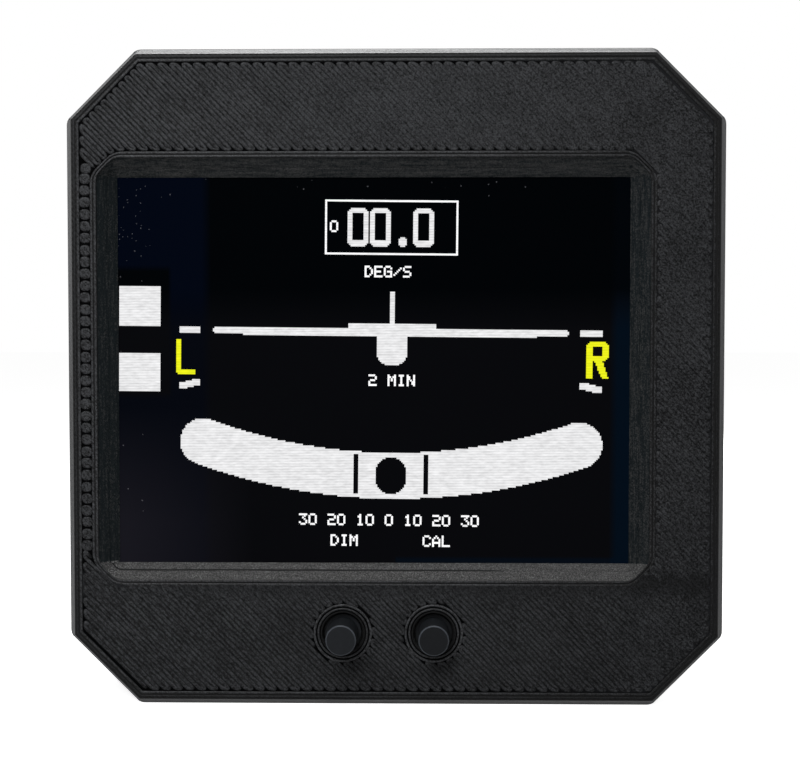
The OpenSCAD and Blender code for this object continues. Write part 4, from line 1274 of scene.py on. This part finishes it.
class TURN_OT_window_slopes(bpy.types.Operator):
    """Builds the two smooth bands of the window's slopes, with a seam between them"""
    bl_idname = "turn.window_slopes"
    bl_label = "Window slopes"

    def execute(self, context):
        bezel = context.scene.turn_bezel
        depth = GLASS_Y - bezel.window_land - FACE_Y
        lay = Lay()
        for seed, (start, finish, proud) in enumerate(SLOPE_BANDS):
            front = [(bezel.window_slope * share + proud * MM, FACE_Y + depth * share - proud * MM)
                     for share in (start, (start + finish) / 2, finish - SLOPE_LIP, finish)]
            front[-1] = (front[-1][0], front[-1][1] + SLOPE_DROP)
            back = [(bezel.window_slope * share - SLOPE_BACK, FACE_Y + depth * share + SLOPE_BACK)
                    for share in (finish, start)]
            lay.band(lambda inward: window_outline(bezel, inward), front + back, BAND_STRAY,
                     10 + seed)
        lay.piece("window_slopes", printed_slope(context.scene.turn_paints, bezel), 50)
        return {"FINISHED"}


class TURN_OT_edge_steps(bpy.types.Operator):
    """Builds the three layers that show as steps on the bezel's front edge"""
    bl_idname = "turn.edge_steps"
    bl_label = "Edge steps"

    def execute(self, context):
        bezel, sizes = context.scene.turn_bezel, context.scene.turn_print
        lay = Lay()
        for step in range(EDGE_STEPS):
            top = FACE_Y + sizes.layer * step
            foot = top + sizes.layer
            side = bezel.side_bevel - sizes.layer * (step + 1)
            cut = max(bezel.cut_bevel - sizes.layer * (step + 1), -0.01 * MM)

            def around(offset, side=side, cut=cut):
                return bezel_outline(bezel, side + offset, cut + offset)

            profile = [(offset * MM, level + behind * MM)
                       for level, points in ((top, STEP_TOP), (foot, STEP_FOOT))
                       for offset, behind in points]
            lay.band(around, profile, STEP_STRAY, 30 + step)
        lay.piece("edge_steps", printed_edge(context.scene.turn_paints), 60)
        return {"FINISHED"}


class TURN_OT_push_keys(bpy.types.Operator):
    """Finishes the two push buttons and the plungers behind them"""
    bl_idname = "turn.push_keys"
    bl_label = "Push keys"

    def execute(self, context):
        paints = context.scene.turn_paints
        dress(moulded_key(paints), "dim_button", "cal_button")
        dress(plain_plastic("plunger_plastic", paints.black_plastic, 0.45),
              "dim_plunger", "cal_plunger")
        return {"FINISHED"}


class TURN_OT_display(bpy.types.Operator):
    """Finishes the display panel with its backlight, tape and tail"""
    bl_idname = "turn.display"
    bl_label = "Display"

    def execute(self, context):
        paints, bezel = context.scene.turn_paints, context.scene.turn_bezel
        dress(unlit_glass(paints, bezel), "lcd_glass")
        dress(plain_plastic("white_moulding", paints.white_plastic, 0.38), "backlight_tray",
              "tail_connector")
        dress(clear_acrylic(paints), "light_guide")
        dress(foam_tape(paints), "display_tape")
        dress(amber_film(paints), "display_tail")
        return {"FINISHED"}


class TURN_OT_picture(bpy.types.Operator):
    """Builds the lit pixels of the display"""
    bl_idname = "turn.picture"
    bl_label = "Picture"

    def execute(self, context):
        paints, bezel = context.scene.turn_paints, context.scene.turn_bezel
        picture = context.scene.turn_picture
        raster = painted_picture(picture)
        for value, name, colour, strength, bloom in (
                (WHITE, "picture_white", paints.lit, 1.0, 0.0),
                (FINE, "picture_fine", paints.lit, 1.3, picture.bloom),
                (YELLOW, "picture_yellow", paints.lit_yellow, 1.0, 0.0)):
            finish = lit_pixels(name + "_light", colour, strength, bezel, picture)
            raise_pixels(raster, value, name, finish, bezel, picture, bloom)
        return {"FINISHED"}


class TURN_OT_boards(bpy.types.Operator):
    """Finishes the two boards and the parts that are soldered to them"""
    bl_idname = "turn.boards"
    bl_label = "Boards"

    def execute(self, context):
        paints = context.scene.turn_paints
        dress(board_lacquer(paints), "display_board", "power_board")
        dress(plain_plastic("chip_plastic", paints.black_plastic, 0.5, 0.08 * MM),
              "processor_chip", "rate_sensor", "voltage_regulator")
        dress(plain_plastic("connector_plastic", paints.black_plastic, 0.42), "link_headers",
              "link_sockets", "switch_bodies", "plug_insulator")
        dress(ribbon_sheath(paints), "link_ribbon")
        dress(plain_plastic("pressed_ferrite", paints.ferrite, 0.55, 0.3 * MM, 0.03 * MM, 0.25),
              "power_inductor")
        dress(shrink_sleeve(paints), "filter_capacitors")
        return {"FINISHED"}


class TURN_OT_metalwork(bpy.types.Operator):
    """Finishes the screws, inserts, posts, switches and the plug's metal"""
    bl_idname = "turn.metalwork"
    bl_label = "Metalwork"

    def execute(self, context):
        paints = context.scene.turn_paints
        dress(metal("zinc_steel", paints.steel, 0.30), "case_screws", "board_screws",
              "standoff_screws", "cover_screws", "plug_jack_posts")
        dress(metal("pressed_steel", paints.steel, 0.24, (0.3, 1, 1)), "plug_shell",
              "clock_crystal", "switch_domes", "switch_legs")
        # the steel switch covers are painted near black: painted shade deep in the button holes
        dress(metal("blackened_steel", shade(paints.steel, 0.05), 0.5), "switch_covers")
        dress(metal("turned_brass", paints.brass, 0.26, (1, 0.2, 1)), "case_inserts",
              "panel_inserts", "cover_inserts", "board_standoffs")
        dress(metal("gold_plating", paints.gold, 0.2), "plug_contacts")
        return {"FINISHED"}


# name, place and width of each lamp; StageSizes has its power
LAMPS = (("key", (-0.09, -0.30, 0.22), 0.15), ("top", (0.0, -0.03, 0.32), 0.17),
         ("rear", (0.20, 0.40, 0.12), 0.2))
SENSOR_WIDTH = 36


def add_aimed(name, data, place, aim):
    """Puts a lamp or a camera into the scene, turned towards a point."""
    made = bpy.data.objects.new(name, data)
    made.location = place
    made.rotation_euler = (aim - made.location).to_track_quat("-Z", "Y").to_euler()
    bpy.context.scene.collection.objects.link(made)
    return made


class TURN_OT_stage(bpy.types.Operator):
    """Sets up the floor, the surroundings, the lamps and the camera"""
    bl_idname = "turn.stage"
    bl_label = "Stage"

    def execute(self, context):
        scene, sizes = context.scene, context.scene.turn_stage
        scene.view_settings.view_transform = "Standard"

        world = bpy.data.worlds.new("surroundings")
        world.use_nodes = True
        scene.world = world
        graph = Graph(world.node_tree)
        path = graph.node("LightPath")
        seen = path + path.pick("Is Glossy Ray") + path.pick("Is Transmission Ray")
        strength = sizes.ambient + seen.clamped() * (1 - sizes.ambient)
        light = graph.node("Background", {"Color": grey(1), "Strength": strength})
        graph.node("OutputWorld", {"Surface": light})

        paper = Finish("floor_paper", {"Roughness": 0.9, "Specular IOR Level": 0.0,
                                       "Emission Strength": 1.0})
        camera_ray = paper.node("LightPath")
        paper.paint(base=paper.mix(paper.cloud(0.2, 2.0), grey(0.59), grey(0.61)),
                    glow=paper.mix(camera_ray, grey(0), grey(0.85)))
        half = sizes.floor_size / 2
        mesh = bpy.data.meshes.new("floor")
        mesh.from_pydata([(x, y, BEZEL_LOW.z) for x, y in
                          ((-half, -half), (half, -half), (half, half), (-half, half))],
                         [], [(0, 1, 2, 3)])
        mesh.materials.append(paper.material)
        floor = bpy.data.objects.new("floor", mesh)
        scene.collection.objects.link(floor)

        aim = Vector(sizes.camera_aim)
        for name, place, width in LAMPS:
            light = bpy.data.lights.new(name + "_lamp", "AREA")
            light.size = width
            light.energy = getattr(sizes, name + "_power")
            add_aimed(name + "_lamp", light, place, aim)

        view = bpy.data.cameras.new("view")
        view.lens = sizes.lens
        view.sensor_width = SENSOR_WIDTH
        view.clip_start = 0.01
        view.clip_end = 20
        scene.camera = add_aimed("camera", view, sizes.camera_at, aim)
        return {"FINISHED"}


OPERATORS = (TURN_OT_printed_shells, TURN_OT_face_lines, TURN_OT_wall_lines, TURN_OT_window_slopes,
             TURN_OT_edge_steps, TURN_OT_push_keys, TURN_OT_display, TURN_OT_picture,
             TURN_OT_boards, TURN_OT_metalwork, TURN_OT_stage)


class TURN_PT_panel(bpy.types.Panel):
    """Lists the pieces of the turn coordinator"""
    bl_idname = "TURN_PT_panel"
    bl_label = "Turn coordinator"
    bl_space_type = "VIEW_3D"
    bl_region_type = "UI"
    bl_category = "Turn coordinator"

    def draw(self, context):
        for operator in OPERATORS:
            self.layout.operator(operator.bl_idname)


GROUPS = {"turn_bezel": BezelSizes, "turn_print": PrintSizes, "turn_picture": PictureSizes,
          "turn_paints": Paints, "turn_stage": StageSizes}


def register():
    for group in GROUPS.values():
        bpy.utils.register_class(group)
    for name, group in GROUPS.items():
        setattr(bpy.types.Scene, name, PointerProperty(type=group))
    for made in (*OPERATORS, TURN_PT_panel):
        bpy.utils.register_class(made)


def unregister():
    for made in (TURN_PT_panel, *reversed(OPERATORS)):
        bpy.utils.unregister_class(made)
    for name, group in reversed(GROUPS.items()):
        delattr(bpy.types.Scene, name)
        bpy.utils.unregister_class(group)


def main():
    register()
    for operator in OPERATORS:
        group, name = operator.bl_idname.split(".")
        getattr(getattr(bpy.ops, group), name)()


if __name__ == "__main__":
    main()
